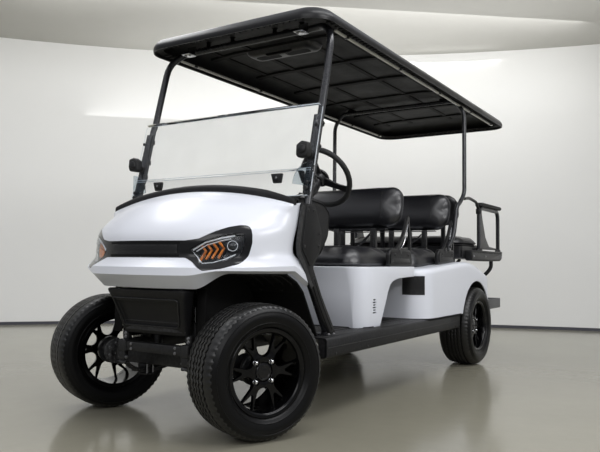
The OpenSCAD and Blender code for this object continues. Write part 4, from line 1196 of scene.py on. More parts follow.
def build_roof():
    """The roof's skin, its ribbed underside, and the light strips, tray and brackets under it."""
    rim = ROOF_TOP - ROOF_RIM_RISE
    outer = spread([(a, b, 0) for a, b in ROOF_OUTER], 5)
    inner = spread([(a, b, 0) for a, b in ROOF_INNER], 5)
    rings = [roof_ring(p.x, rim + p.y) for p in inner[::-1]]
    rings += [roof_ring(max(p.x, -2), rim + p.y) for p in outer]
    shape = Shape()
    shape.add(loft(rings), "canopy")
    shape.piece("roof_skin", slot="canopy", replaces=["roof_canopy"], sharp=40)

    under = Shape()
    liner = [roof_ring(i, rim + z, 8) for i, z in ((18, 36), (24, 40), (60, 62), (123, 77), (290, 87))]
    under.add(loft(liner[::-1], ends=False), "canopy_under")
    under.add((liner[-1], [tuple(reversed(range(len(liner[-1]))))]), "canopy_under")
    # Painted shade: dark bands under the roof, across and along, stand for the shaded grooves of its
    # recessed grid.
    for y in (840, 1330, 1820, 2310, 2800, 3200):
        path = [(x, y, under_roof(x) - 7) for x in range(-500, 501, 50)]
        under.add(tube(path, 1, section=[(-9, -21), (3, -27), (3, 27), (-9, 21)]), "dark_cavity")
    for x in (190, 420):
        path = [(x, y, under_roof(x) - 6) for y in range(640, 3381, 60)]
        under.pair(tube(path, 1, section=[(-20, -5), (20, -5), (15, 4), (-15, 4)]), "dark_cavity")
    lips = [[(8, 9), (8, 4), (14, 4), (14, 9), (8, 9)], [(52, 25), (52, 20), (58, 20), (58, 25), (52, 25)],
            [(10, 14), (10, 18), (30, 21), (54, 28), (54, 24), (30, 17), (10, 14)]]
    for lip in lips:
        under.add(loft([roof_ring(i, rim + z, 8) for i, z in lip], ends=False), "canopy_under")
    for k in range(74):
        y = 480 + 41 * k
        under.pair(box((548, y, rim + 11), (590, y + 9, rim + 19)), "canopy_under")
    for k in range(24):
        x = -460 + 40 * k
        under.add(box((x, 345, rim + 11), (x + 9, 384, rim + 19)), "canopy_under")
        under.add(box((x, 3576, rim + 11), (x + 9, 3615, rim + 19)), "canopy_under")
    under.piece("roof_underside", slot="canopy", sharp=35)

    fittings = Shape()
    fittings.pair(block((533, 585, rim - 2), (549, 3420, rim + 9), 2.5), "led_strip")
    for y in (700, 1400, 2100, 2800, 3350):
        fittings.pair(block((529, y, rim - 4), (553, y + 26, rim + 11), 2), "satin_plastic")
    sizes = ((202, 26), (222, 42), (232, 52), (240, 60))
    tray = [round_rect((-a, 878 - b), (a, 930 + b), 34, 6) for a, b in sizes]
    fittings.add(stacked(tray, [rim + 46, rim + 52, rim + 62, rim + 84]), "satin_plastic")
    # Painted shade: a dark pad under the tray at each well stands for the shade inside the well.
    for x in (-105, 105):
        well = [round_rect((x - a, 904 - b), (x + a, 904 + b), 22, 5) for a, b in ((84, 34), (78, 28))]
        fittings.add(stacked(well, (rim + 44.5, rim + 47)), "dark_cavity")
    handle = [(x, 852, rim + z) for x, z in ((-90, 60), (-90, 40), (90, 40), (90, 60))]
    fittings.add(tube(handle, 7, 20, 10), "satin_plastic")
    fittings.pair(block((362, 452, rim - 12), (420, 520, rim - 4), 2), "bright")
    fittings.pair(block((362, 505, rim - 12), (420, 513, rim + 44), 2), "bright")
    for x in (376, 406):
        fittings.pair(bolt(7, 5), "bare_steel", aimed((x, 476, rim - 12), (0, 0, -1)))
    fittings.piece("roof_fittings", slot="canopy", sharp=35)


def mirrored(path):
    """A path carried on to the right side as its mirror image."""
    return list(path) + [(-p[0], p[1], p[2]) for p in reversed(path)]


def build_struts():
    """Both roof hoops with their feet, clamps and the strips that hold the windshield."""
    rim = ROOF_TOP - ROOF_RIM_RISE
    front = Shape()
    front.add(tube(mirrored(STRUT_FRONT), 19, 70, 28), "strut")
    front.pair(block((536, 435, 400.4), (606, 505, 407), 2.5), "strut")
    for x in (546, 596):
        for y in (446, 494):
            front.pair(bolt(7, 5), "bare_steel", moved(x, y, 407))
    front.pair(turned([(19, 0), (27, 0), (24, 10), (20, 22), (19, 22)], 28, close=True), "strut",
               aimed((STRUT_X, 464, 409), (0, -0.53, 0.85)))
    for x in (150, 330):
        front.pair(turned([(0, 0), (13, 0), (12, 3), (12, 36), (20, 39), (20, 42), (0, 42)], 20),
                   "dark_cavity", moved(x, 590, rim + 46))

    def on_strut(z, off):
        """The strut's middle at a height, moved back by off."""
        return (STRUT_X, 282 + (z - 1062) * SCREEN_LEAN + off, z)

    strip = [on_strut(z, -24.5) for z in (1092, 1200, 1350, 1495)]
    front.pair(rounded(strap(strip, 21, 4.5), 2, 2), "strut")
    for z in (1180, 1330, 1450):
        x, y, zz = on_strut(z, 0)
        hoop = [(x + a, y + b, zz) for a, b in circle(23, 28)]
        front.pair(strap(hoop, 2, 11, closed=True), "satin_plastic")
        front.pair(bolt(6, 5), "satin_plastic", aimed((x + 24, y, zz), (1, 0, 0)))
    front.piece("front_hoop", slot="frame_steel", replaces=["front_roof_struts"], sharp=35)

    rear = Shape()
    y, x = WHEELBASE - 60, 574
    path = [(x, y - 345, 880), (x, y - 239, 973), (x, y - 172, 1193), (x, y - 105, 1221), (x, y, 1300),
            (x, y, rim - 52), (500, y, rim + 50), (440, y, rim + 50)]
    rear.add(tube(mirrored(path), 16, 50, 26), "strut")
    plate = [(y - 372, 850), (y - 318, 850), (y - 300, 905), (y - 322, 925), (y - 362, 905)]
    rear.pair(rounded(prism(round_corners(plate, 10, 3), x - 8, x + 8), 2, 2), "strut")
    for dy, dz in ((-350, 866), (-325, 890)):
        rear.pair(bolt(7, 5), "bare_steel", aimed((x + 8, y + dy, dz), (1, 0, 0)))
    rear.pair(block((380, y - 22, rim + 60), (440, y + 22, rim + 76), 3), "dark_cavity")
    rear.piece("rear_hoop", slot="frame_steel", replaces=["rear_roof_struts"], sharp=35)


def glass_y(z):
    """The back of the windshield at a height."""
    return 254 + (z - 1085) * SCREEN_LEAN


def build_windshield():
    """Two clear panes with a folding joint, their clips, latches and side tabs."""
    half = cad_box("windshield_upper")[1].x
    panes = Shape()
    for low, high in ((1081, 1212), (1214.4, 1544)):
        outline = round_corners([(-half, low), (half, low), (half, high), (-half, high)], 16, 4)
        front = [(x, glass_y(z) - 5, z) for x, z in outline]
        back = [(x, glass_y(z), z) for x, z in outline]
        panes.add(rounded(loft([back, front]), 1.0, 2, 50), "clear")
    fold = [(-half + 16, glass_y(1544) - 3, 1543), (half - 16, glass_y(1544) - 3, 1543)]
    panes.add(loft([[(x, y - 1, z), (x, y - 16, z + 7), (x, y - 15, z + 11), (x, y + 1.5, z + 3)]
                    for x, y, z in fold]), "clear")
    # Painted highlight: pale strips along the top, the joint, the bottom and the sides of the panes stand
    # for the light their edges catch.
    for z, off, thick in ((1544, 1.5, 2.2), (1218.5, -5.5, 1.4), (1208, -5.5, 1.4), (1083, -2.0, 1.6)):
        line = [(x, glass_y(z) + off, z) for x in (-half + 16, half - 16)]
        panes.add(tube(line, thick, sides=8), "clear_edge")
    for side in (1, -1):
        line = [(side * half, glass_y(z) - 2.5, z) for z in (1100, 1195, 1230, 1530)]
        panes.add(tube(line[:2], 1.5, sides=8), "clear_edge")
        panes.add(tube(line[2:], 1.5, sides=8), "clear_edge")
    panes.piece("windshield_panes", slot="clear", replaces=["windshield_upper", "windshield_lower"],
                sharp=25)

    trim = Shape()
    joint = [(x, glass_y(1213) - 2.5, 1213.2) for x in (-half + 4, half - 4)]
    trim.add(strap(joint, 4.6, 2.4), "clear")
    for x in (-400, 400):
        z = 1176
        y = glass_y(z) - 5
        clip = round_corners([(-34, 22), (34, 22), (26, -26), (-20, -26)], 6, 3)
        trim.add(rounded(prism([(x + a, z + b) for a, b in clip], y - 13, y - 1, "y"), 3, 2), "soft_rubber")
        trim.add(rounded(prism([(x + a * 0.7, z + b * 0.7) for a, b in clip], y - 17, y - 12, "y"), 2, 2),
                 "satin_plastic")
        trim.add(button(6, 3), "bare_steel", aimed((x, y - 17, z), (0, -1, 0)))
    for side in (1, -1):
        z = 1302
        x, y = side * 566, glass_y(z) - 5
        body = [(-48, -26), (-30, -40), (34, -34), (46, -8), (40, 34), (-6, 42), (-44, 24)]
        trim.add(rounded(prism([(x + side * a * 0.75, z + b) for a, b in body], y - 78, y - 34, "y"), 7, 2),
                 "soft_rubber")
        cap = [(x + side * a * 0.5, z + b * 0.5) for a, b in body]
        trim.add(rounded(prism(cap, y - 86, y - 76, "y"), 4, 2), "satin_plastic")
        trim.add(tube([(x, y - 40, z - 6), (x, y - 14, z - 16), (x, y - 1, z - 18)], 11, 10, 16),
                 "soft_rubber")
        trim.add(turned([(0, 0), (21, 0), (21, 4), (17, 7), (0, 7)], 28), "soft_rubber",
                 aimed((x, y - 1, z - 18), (0, -1, 0)))
        trim.add(turned([(0, 0), (9, 0), (9, 5), (0, 6)], 16), "satin_plastic",
                 aimed((x + side * 18, glass_y(1420) - 5, 1436), (0, -1, 0)))
        trim.add(turned([(0, 0), (12, 0), (13, 6), (10, 12), (0, 12)], 20), "soft_rubber",
                 aimed((x + side * 6, glass_y(1120) - 5, 1118), (0, -1, 0)))
        tab = [(0, 0), (0, 118)] + arc((0, 0), 118, 92, 172, 12) + [(-96, 12)]
        edge = [(side * 592 + side * a * 0.86, 1128 + b) for a, b in tab]
        trim.add(rounded(prism(edge, glass_y(1180) - 18, glass_y(1180) - 14.5, "y"), 0.8, 1), "smoke")
        trim.add(bolt(7, 6), "satin_plastic", aimed((side * 578, glass_y(1180) - 18, 1146), (0, -1, 0)))
    trim.piece("windshield_fittings", slot="black_plastic", sharp=35)


# ---------------------------------------------------------------- body, floor and steps

BODY_FRONT = WHEELBASE - 1040.0
BODY_BACK = WHEELBASE + 350.0
BODY_FLOOR = 400.0
ROLLED_EDGE = 40.0
ARCH_RADIUS = 340.0


def build_seat_pod():
    """The white pod under the front seat, with its overhang and its vent slots."""
    half = cad_box("front_seat_pod")[1].x
    outline = [(845, 400.4), (830, 740), (1580, 740), (1580, 688)]
    back = [(1568, 677), (1400, 672), (1290, 664), (1216, 644), (1174, 602), (1140, 540), (1100, 470),
            (1060, 400.4)]
    smooth = [(p.x, p.y) for p in spread([(a, b, 0) for a, b in back], 4)]
    plan = (arc((-half + 120, 950), 120, 180, 270, 14) + arc((half - 120, 950), 120, 270, 360, 14)
            + arc((half - 26, 1554), 26, 0, 90, 4) + arc((-half + 26, 1554), 26, 90, 180, 4))
    part = carve(prism(outline + smooth, -half - 5, half + 5), [prism(plan, 390, 750, "z")], "INTERSECT")
    part = rounded(part, 13, 4, 50)
    slots = []
    for k in range(6):
        z = 478 + 14.5 * k
        reach = 17 if k % 2 else 23
        slots.append(rounded(box((half - 10, 985 - reach, z), (half + 10, 985 + reach, z + 8)), 2.5, 2))
    shape = Shape().add(carve(part, slots + [mirror(slot) for slot in slots]), "paint")
    # Painted shade: a dark block behind the vent slots stands for the shade inside the pod.
    shape.pair(block((half - 9, 955, 472), (half - 6, 1015, 566), 1), "dark_cavity")
    rim = [(x, y, 403) for x, y in round_rect((-half + 1, 846), (half - 1, 1058), 100, 8)]
    shape.add(tube(rim, 1, section=[(-2.5, -3), (2.5, -3), (2.5, 5), (-2.5, 5)], closed=True),
              "soft_rubber")
    shape.piece("seat_pod_shell", slot="painted_white", replaces=["front_seat_pod"], sharp=28)


def deck_height(y):
    """Top of the rear body at y."""
    line = [(BODY_FRONT - 50, 718), (BODY_FRONT, 722), (2000, 750), (WHEELBASE - 230, 774),
            (WHEELBASE - 100, 770), (WHEELBASE - 10, 754), (WHEELBASE + 150, 716), (WHEELBASE + 320, 664),
            (BODY_BACK, 606)]
    for (a, za), (b, zb) in zip(line, line[1:]):
        if y <= b:
            t = (y - a) / (b - a)
            return za + (zb - za) * t
    return line[-1][1]


def body_plan(grow=0.0):
    """The plan of the rear body, with wide round corners at the front and smaller ones at the tail."""
    half = cad_box("rear_body")[1].x
    front, tail = 150.0, 90.0
    corners = (arc((-half + front, BODY_FRONT + front), front, 180, 270, 18)
               + arc((half - front, BODY_FRONT + front), front, 270, 360, 18)
               + arc((half - tail, BODY_BACK - tail), tail, 0, 90, 12)
               + arc((-half + tail, BODY_BACK - tail), tail, 90, 180, 12))
    return inset(fine_outline(corners, 48), -grow) if grow else fine_outline(corners, 48)


def build_rear_body():
    """The white rear body with rolled top edges, flared wheel arches and black arch housings."""
    half = cad_box("rear_body")[1].x
    floor = BODY_FLOOR
    plan = body_plan()
    n = len(plan)
    inner = inset(plan, 5.0)
    edge = ROLLED_EDGE
    rings = [[(x, y, deck_height(y) - edge - 8) for x, y in inset(plan, 8.0)],
             [(x, y, floor) for x, y in inner], [(x, y, floor) for x, y in plan]]
    for share in (0.3, 0.6, 0.85):
        rings.append([(x, y, floor + (deck_height(y) - edge - floor) * share) for x, y in plan])
    for k in range(8):
        a = math.pi / 2 * k / 7
        ring = inset(plan, edge * (1 - math.cos(a)))
        rings.append([(x, y, deck_height(y) - edge * (1 - math.sin(a))) for x, y in ring])
    for k in (2.2, 4.0):
        ring = inset(plan, edge * k * 0.45)
        rings.append([(x, y, deck_height(y) + 0.2 * k) for x, y in ring])
    points, faces = loft(rings, ends=False)
    for start, turn in ((0, True), ((len(rings) - 1) * n, False)):
        ring = rings[start // n]
        mate = {i: min(range(n), key=lambda j: math.dist((-ring[j][0], ring[j][1]), ring[i][:2]))
                for i in range(n)}
        left = sorted((i for i in range(n) if ring[i][0] > 0), key=lambda i: ring[i][1])
        for a, b in zip(left, left[1:]):
            cap = (start + a, start + b, start + mate[b], start + mate[a])
            faces.append(tuple(reversed(cap)) if turn else cap)
    arches = [shifted(turned([(0, 0), (ARCH_RADIUS, 0), (ARCH_RADIUS, 300), (0, 300)], 96),
                      moved(x, WHEELBASE, AXLE_Z) @ ACROSS)
              for x in (410, -710)]
    shape = Shape().add(carve((points, faces), arches), "paint")
    start = math.degrees(math.asin((floor - AXLE_Z) / ARCH_RADIUS))
    lip = [(half - 5, y, z) for y, z in arc((WHEELBASE, AXLE_Z), ARCH_RADIUS + 2, start, 180 - start, 48)]
    shape.pair(tube(lip, 5.5, sides=12), "paint")
    lip = [(half - 14, y, z) for y, z in arc((WHEELBASE, AXLE_Z), ARCH_RADIUS - 1, start, 180 - start, 48)]
    shape.pair(strap(lip, 12, 2), "soft_rubber")
    curve = arc((WHEELBASE, AXLE_Z), ARCH_RADIUS - 2, start, 180 - start, 36)
    rows = [[Vector((x, y, z)) for x in (414, 470, 540, 600, half - 16)] for y, z in curve]
    shape.pair(shell(rows, 0, 2), "plastic")
    shape.pair(prism(curve, 410, 414), "plastic")
    for k in range(5):
        y, z = arc((WHEELBASE, AXLE_Z), ARCH_RADIUS - 6, 30 + 30 * k, 30 + 30 * k, 1)[0]
        shape.pair(button(9, 3), "satin_plastic", aimed((560, y, z), (0, WHEELBASE - y, AXLE_Z - z)))
    shape.piece("rear_body_shell", slot="painted_white", replaces=["rear_body"], sharp=28)

    trim = Shape()
    skin = fine_outline(body_plan(), 12)
    corner = sorted((p for p in skin if 478 < p[0] and p[1] < BODY_FRONT + 60), key=lambda p: p[0])
    rows = [[Vector((x, y, z)) for x, y in corner] for z in (558, 600, 640, 680)]
    trim.pair(shell(rows, 1.6, 3.2), "satin_plastic")
    left_side = sorted((p for p in body_plan(1.0) if p[0] > 0 and p[1] < WHEELBASE - 330),
                       key=lambda p: (-p[1], -p[0]))
    line = [(x, y, floor + 3) for x, y in left_side]
    trim.add(tube(line + [(-x, y, z) for x, y, z in reversed(line)], 3.2, sides=8), "soft_rubber")
    for x in (-420, 420):
        lamp = rounded(prism(round_rect((x - 62, 480), (x + 62, 536), 16, 5), BODY_BACK - 2, BODY_BACK + 12,
                             "y"), 3, 2)
        trim.add(lamp, "gloss_black")
        lens = prism(round_rect((x - 56, 486), (x + 56, 530), 12, 5), BODY_BACK + 10, BODY_BACK + 16, "y")
        trim.add(rounded(lens, 2, 2), "red_lens")
        for k in range(5):
            trim.add(block((x - 50 + 21 * k, BODY_BACK + 15, 490), (x - 47 + 21 * k, BODY_BACK + 17, 526),
                           0.7, 1), "red_lens")
    plate = prism(round_rect((-150, 470), (150, 560), 18, 5), BODY_BACK - 2, BODY_BACK + 6, "y")
    trim.add(rounded(plate, 2, 2), "plastic")
    for x in (-120, 120):
        trim.add(bolt(6, 4), "bare_steel", aimed((x, BODY_BACK + 6, 515), (0, 1, 0)))
    trim.piece("rear_body_trim", slot="black_plastic", sharp=35)


def build_floor():
    """Floor mats with ribs, and the step panels along the sides."""
    dress(["floor_pan"], "plastic")
    shape = Shape()
    for low, high in (((-500, 400), (500, 838)), ((-500, 1078), (500, 1584))):
        shape.add(rounded(prism(round_rect(low, high, 24, 5), 400.3, 403.2, "z"), 0.8, 1), "mat")
        rows = int((high[1] - low[1] - 44) // 16)
        for k in range(rows):
            y = low[1] + 26 + 16 * k
            for x0, x1 in ((-478, -168), (-152, 152), (168, 478)):
                shape.add(rounded(box((x0, y, 403), (x1, y + 6, 405)), 0.8, 1, 40), "mat")
    tilt = moved(0, 308, 400, math.degrees(math.atan2(300, -158)), "X")
    for k in range(14):
        shape.add(box((-236, 22 + 22 * k, -4.2), (236, 32 + 22 * k, -1.0)), "mat", tilt)
    shape.piece("floor_mats", slot="black_plastic", sharp=35)

    low, high = cad_box("rocker_panels")
    steps = Shape()
    profile = [(505, 385), (505, 400), (624, 400), (634, 396), (640, 386), (640, 318), (636, 306),
               (622, 300), (590, 300), (590, 307), (618, 307), (630, 318), (630, 384), (622, 392),
               (513, 392), (513, 385)]
    steps.pair(rounded(prism(profile, low.y, high.y, "y"), 1.5, 2, 50), "plastic")
    cap = [(590, 302), (622, 302), (637, 314), (637, 388), (624, 397), (590, 397)]
    for y in (low.y, high.y - 5):
        steps.pair(rounded(prism(cap, y, y + 5, "y"), 1, 1), "plastic")
    for k in range(7):
        x = 520 + 14 * k
        steps.pair(rounded(box((x, low.y + 18, 399.5), (x + 6, high.y - 18, 402)), 0.9, 1, 40),
                   "satin_plastic")
    steps.pair(strap([(640, low.y + 10, 352), (640, high.y - 10, 352)], 1.6, 1.4), "satin_plastic")
    for k in range(6):
        y = low.y + 90 + k * (high.y - low.y - 180) / 5
        steps.pair(button(7, 3), "satin_plastic", aimed((640, y, 318), (1, 0, 0)))
        steps.pair(block((600, y - 14, 306), (628, y + 14, 345), 2), "chassis")
    steps.piece("side_steps", slot="black_plastic", replaces=["rocker_panels"], sharp=35)


# ---------------------------------------------------------------- seats


def pillow(outline, thick, side=60.0, rise=0.62, crown=7.0, steps=7):
    """A padded block over an outline: small round lower edges, large round upper edges and a low crown."""
    low = thick * (1 - rise) * 0.7
    rings = []
    for k in range(4):
        a = math.pi / 2 * k / 3
        rings.append((low * (1 - math.sin(a)) * 0.8, low * (1 - math.cos(a))))
    top = thick * rise
    for k in range(steps + 1):
        a = math.pi / 2 * k / steps
        rings.append((side * (1 - math.cos(a)), thick - top + top * math.sin(a)))
    rings += [(side * 1.35, thick + crown * 0.45), (side * 1.8, thick + crown * 0.8),
              (side * 2.3, thick + crown)]
    return loft([[(x, y, z) for x, y in (inset(outline, d) if d > 0.01 else outline)] for d, z in rings])


CUSHION_VOXEL = 0.0125
SWELL_LIMIT = 0.012


def cushion_object(name, part, move, resting, cap):
    """Turns a padded block into an upholstered one: remeshed, blown up as cloth, and smoothed."""
    shape = Shape().add(part, "vinyl", move)
    obj = bpy.data.objects.new(name, shape.mesh(name))
    bpy.context.scene.collection.objects.link(obj)
    bake_modifiers(obj, [("REMESH", {"mode": "VOXEL", "voxel_size": CUSHION_VOXEL, "adaptivity": 0.0})])
    inflate(obj, resting, cap)
    bake_modifiers(obj, [("SMOOTH", {"factor": 0.5, "iterations": 9}), ("SUBSURF", {"levels": 1})])
    obj.data.materials.clear()
    obj.data.materials.append(material("vinyl"))
    return obj


def bake_modifiers(obj, wanted):
    """Adds modifiers, keeps the mesh they give, and removes them."""
    for kind, values in wanted:
        modifier = obj.modifiers.new(kind.lower(), kind)
        for key, value in values.items():
            setattr(modifier, key, value)
    graph = bpy.context.evaluated_depsgraph_get()
    result = bpy.data.meshes.new_from_object(obj.evaluated_get(graph))
    old = obj.data
    obj.modifiers.clear()
    obj.data = result
    bpy.data.meshes.remove(old)
    result.name = obj.name


def inflate(obj, resting, cap, pressure=4.0, frames=20):
    """Blows the cloth skin of a cushion up, held where it rests, and limits how far each point moves."""
    scene = bpy.context.scene
    held = obj.vertex_groups.new(name="resting")
    spots = [v.index for v in obj.data.vertices if resting(v.co, v.normal)]
    if spots:
        held.add(spots, 1.0, "REPLACE")
    before = [v.co.copy() for v in obj.data.vertices]
    modifier = obj.modifiers.new("cloth", "CLOTH")
    cloth = modifier.settings
    cloth.quality = 4
    cloth.mass = 0.3
    cloth.tension_stiffness = 12
    cloth.compression_stiffness = 12
    cloth.bending_stiffness = 2.5
    cloth.use_pressure = True
    cloth.uniform_pressure_force = pressure
    cloth.effector_weights.gravity = 0.0
    cloth.vertex_group_mass = "resting"
    modifier.collision_settings.use_collision = False
    modifier.point_cache.frame_start = 1
    modifier.point_cache.frame_end = frames
    for number in range(1, frames + 1):
        scene.frame_set(number)
    graph = bpy.context.evaluated_depsgraph_get()
    blown = obj.evaluated_get(graph).to_mesh()
    after = [v.co.copy() for v in blown.vertices]
    obj.evaluated_get(graph).to_mesh_clear()
    obj.modifiers.clear()
    for vertex, old, new in zip(obj.data.vertices, before, after):
        step = new - old
        if step.length > cap:
            step *= cap / step.length
        vertex.co = old + step
    obj.vertex_groups.clear()
    scene.frame_set(1)


def surface_tree(obj):
    """A search tree over an object's mesh, in mm from the front axle."""
    points = [(v.co.x * 1000, v.co.y * 1000 - AXLE_Y, v.co.z * 1000) for v in obj.data.vertices]
    return BVHTree.FromPolygons(points, [tuple(p.vertices) for p in obj.data.polygons])


def sewn(tree, path, radius, proud=0.5):
    """Piping or a seam that lies on a cushion along a path."""
    out = []
    for point in path:
        hit, normal = tree.find_nearest(Vector(point))[:2]
        out.append(hit + normal * radius * proud)
    return out


def stitches(tree, path, spacing=9.0, length=5.0):
    """Single stitches along a path on a cushion."""
    out = []
    path = [Vector(p) for p in path]
    carry = 0.0
    for a, b in zip(path, path[1:]):
        span = (b - a).length
        while carry < span:
            at = a + (b - a) * (carry / span)
            hit, normal = tree.find_nearest(at)[:2]
            way = (b - a).normalized()
            across = normal.cross(way).normalized()
            p, q = hit - way * length / 2, hit + way * length / 2
            points = [p - across * 0.7, q - across * 0.7, q + across * 0.7, p + across * 0.7]
            ridge = [p - across * 0.4, q - across * 0.4, q + across * 0.4, p + across * 0.4]
            points += [point + normal * 0.9 for point in ridge]
            faces = [(4, 5, 6, 7), (0, 1, 5, 4), (1, 2, 6, 5), (2, 3, 7, 6), (3, 0, 4, 7)]
            out.append(([tuple(point) for point in points], faces))
            carry += spacing
        carry -= span
    return join(*out) if out else ([], [])


def closed_path(points, gap=16.0):
    """Points along a closed loop in space, evenly enough to hug a surface."""
    out = []
    for a, b in zip(points, points[1:] + points[:1]):
        a, b = Vector(a), Vector(b)
        n = max(1, math.ceil((b - a).length / gap))
        out += [a + (b - a) * k / n for k in range(n)]
    return out


def open_path(points, gap=16.0):
    """Points along an open line in space, as evenly spaced."""
    way_back = max(1, math.ceil((Vector(points[0]) - Vector(points[-1])).length / gap))
    return closed_path([tuple(p) for p in points], gap)[:-way_back] + [Vector(points[-1])]


def upholster(name, obj, piping, seams, body, replaces, joined=(), proud=0.45):
    """Finishes a cushion: piping loops, sewn seams with stitches, and its declaration as a padded piece."""
    tree = surface_tree(obj)
    place(obj, body, replaces, 60)
    trim = Shape()
    for path in piping:
        trim.add(tube(sewn(tree, closed_path(path), 3.4, proud), 3.4, sides=8, closed=True), "vinyl")
    for path in seams:
        line = open_path(path)
        trim.add(tube(sewn(tree, line, 1.6, 0.2), 1.6, sides=6), "thread")
        for gap in (7.0, -7.0):
            way = (line[-1] - line[0]).normalized()
            middle = tree.find_nearest(line[len(line) // 2])
            across = middle[1].cross(way).normalized() * gap
            trim.add(stitches(tree, [p + across for p in line]), "thread")
    for part, finish_name in joined:
        trim.add(part, finish_name)
    trim.piece(name + "_piping", body, "vinyl", sharp=40)


def bench_cushion(name, low, high, base_low, base_high, thick, replaces, body="chassis", cap=SWELL_LIMIT):
    """A bench cushion between two corners of its plan, on a base that may rise to the back."""
    (x0, y0), (x1, y1) = low, high
    cx, cy = (x0 + x1) / 2, (y0 + y1) / 2
    width, depth = x1 - x0 - 14, y1 - y0 - 14
    outline = fine_outline(round_rect((-width / 2, -depth / 2), (width / 2, depth / 2), 118, 10), 40)
    part = pillow(outline, thick - 12, 78, 0.7, 9)
    lean = math.degrees(math.atan2(base_high - base_low, y1 - y0))
    move = moved(cx, cy, (base_low + base_high) / 2 + 1, lean, "X")
    obj = cushion_object(name, part, move, lambda co, normal: normal.z < -0.6, cap)
    lower = [move @ Vector((x, y, 15)) for x, y in inset(outline, -2)]
    top = thick + 6
    seams = [[move @ Vector((x, y, top)) for y in (-depth / 2 + 40, 0, depth / 2 - 50)]
             for x in (-width / 2 + 120, width / 2 - 120)]
    seams.append([move @ Vector((x, -depth / 2 + 92, top)) for x in (-width / 2 + 120, 0, width / 2 - 120)])
    upholster(name, obj, [lower], seams, body, replaces)


def back_cushion(name, y, z, height, lean, thick, replaces):
    """A seat back: bottom front corner at y and z, leaning back over its height."""
    width, tall = 1070.0, height - 8
    outline = fine_outline(round_rect((-width / 2, -tall / 2), (width / 2, tall / 2), 98, 9), 40)
    part = pillow(outline, thick - 12, 62, 0.72, 9)
    angle = math.degrees(math.atan2(abs(lean), height))
    centre = Vector((0, y + lean / 2 + (thick - 5 if lean >= 0 else 5), z + height / 2))
    facing = Matrix.Rotation(math.radians(90 if lean >= 0 else -90), 4, "X")
    turn = Matrix.Rotation(math.radians(-angle if lean >= 0 else angle), 4, "X")
    half_turn = Matrix.Rotation(math.pi if lean < 0 else 0, 4, "Z")
    move = Matrix.Translation(centre) @ turn @ facing @ half_turn
    outward = (move.to_3x3() @ Vector((0, 0, 1))).normalized()
    obj = cushion_object(name, part, move, lambda co, normal: normal.dot(outward) < -0.7, SWELL_LIMIT)
    rear = [move @ Vector((a, b, 11)) for a, b in inset(outline, -2)]
    seams = [[move @ Vector((a, b, thick + 6)) for b in (-tall / 2 + 40, 0, tall / 2 - 40)]
             for a in (-width / 2 + 125, width / 2 - 125)]
    board = shifted(rounded(prism(inset(outline, 26), -2, 6, "z"), 2, 2), move)
    upholster(name, obj, [rear], seams, "chassis", replaces, [(board, "satin_plastic")])


def build_seats():
    """The two forward benches and three seat backs."""
    half = cad_box("seat_cushions")[1].x
    middle = WHEELBASE - 950
    bench_cushion("front_bench", (-half, 845), (half, 1420), 741, 741, 112, ["seat_cushions"])
    bench_cushion("middle_bench", (-half, middle), (half, middle + 570), deck_height(middle) + 1,
                  deck_height(middle + 570) + 1, 108, [])
    back_cushion("front_back", 1405, 975, 287, 60, 82, ["seat_backs"])
    back_cushion("middle_back", WHEELBASE - 360, 1000, 293, 60, 82, [])
    back_cushion("rear_back", WHEELBASE - 66, 1050, 250, -50, 78, [])


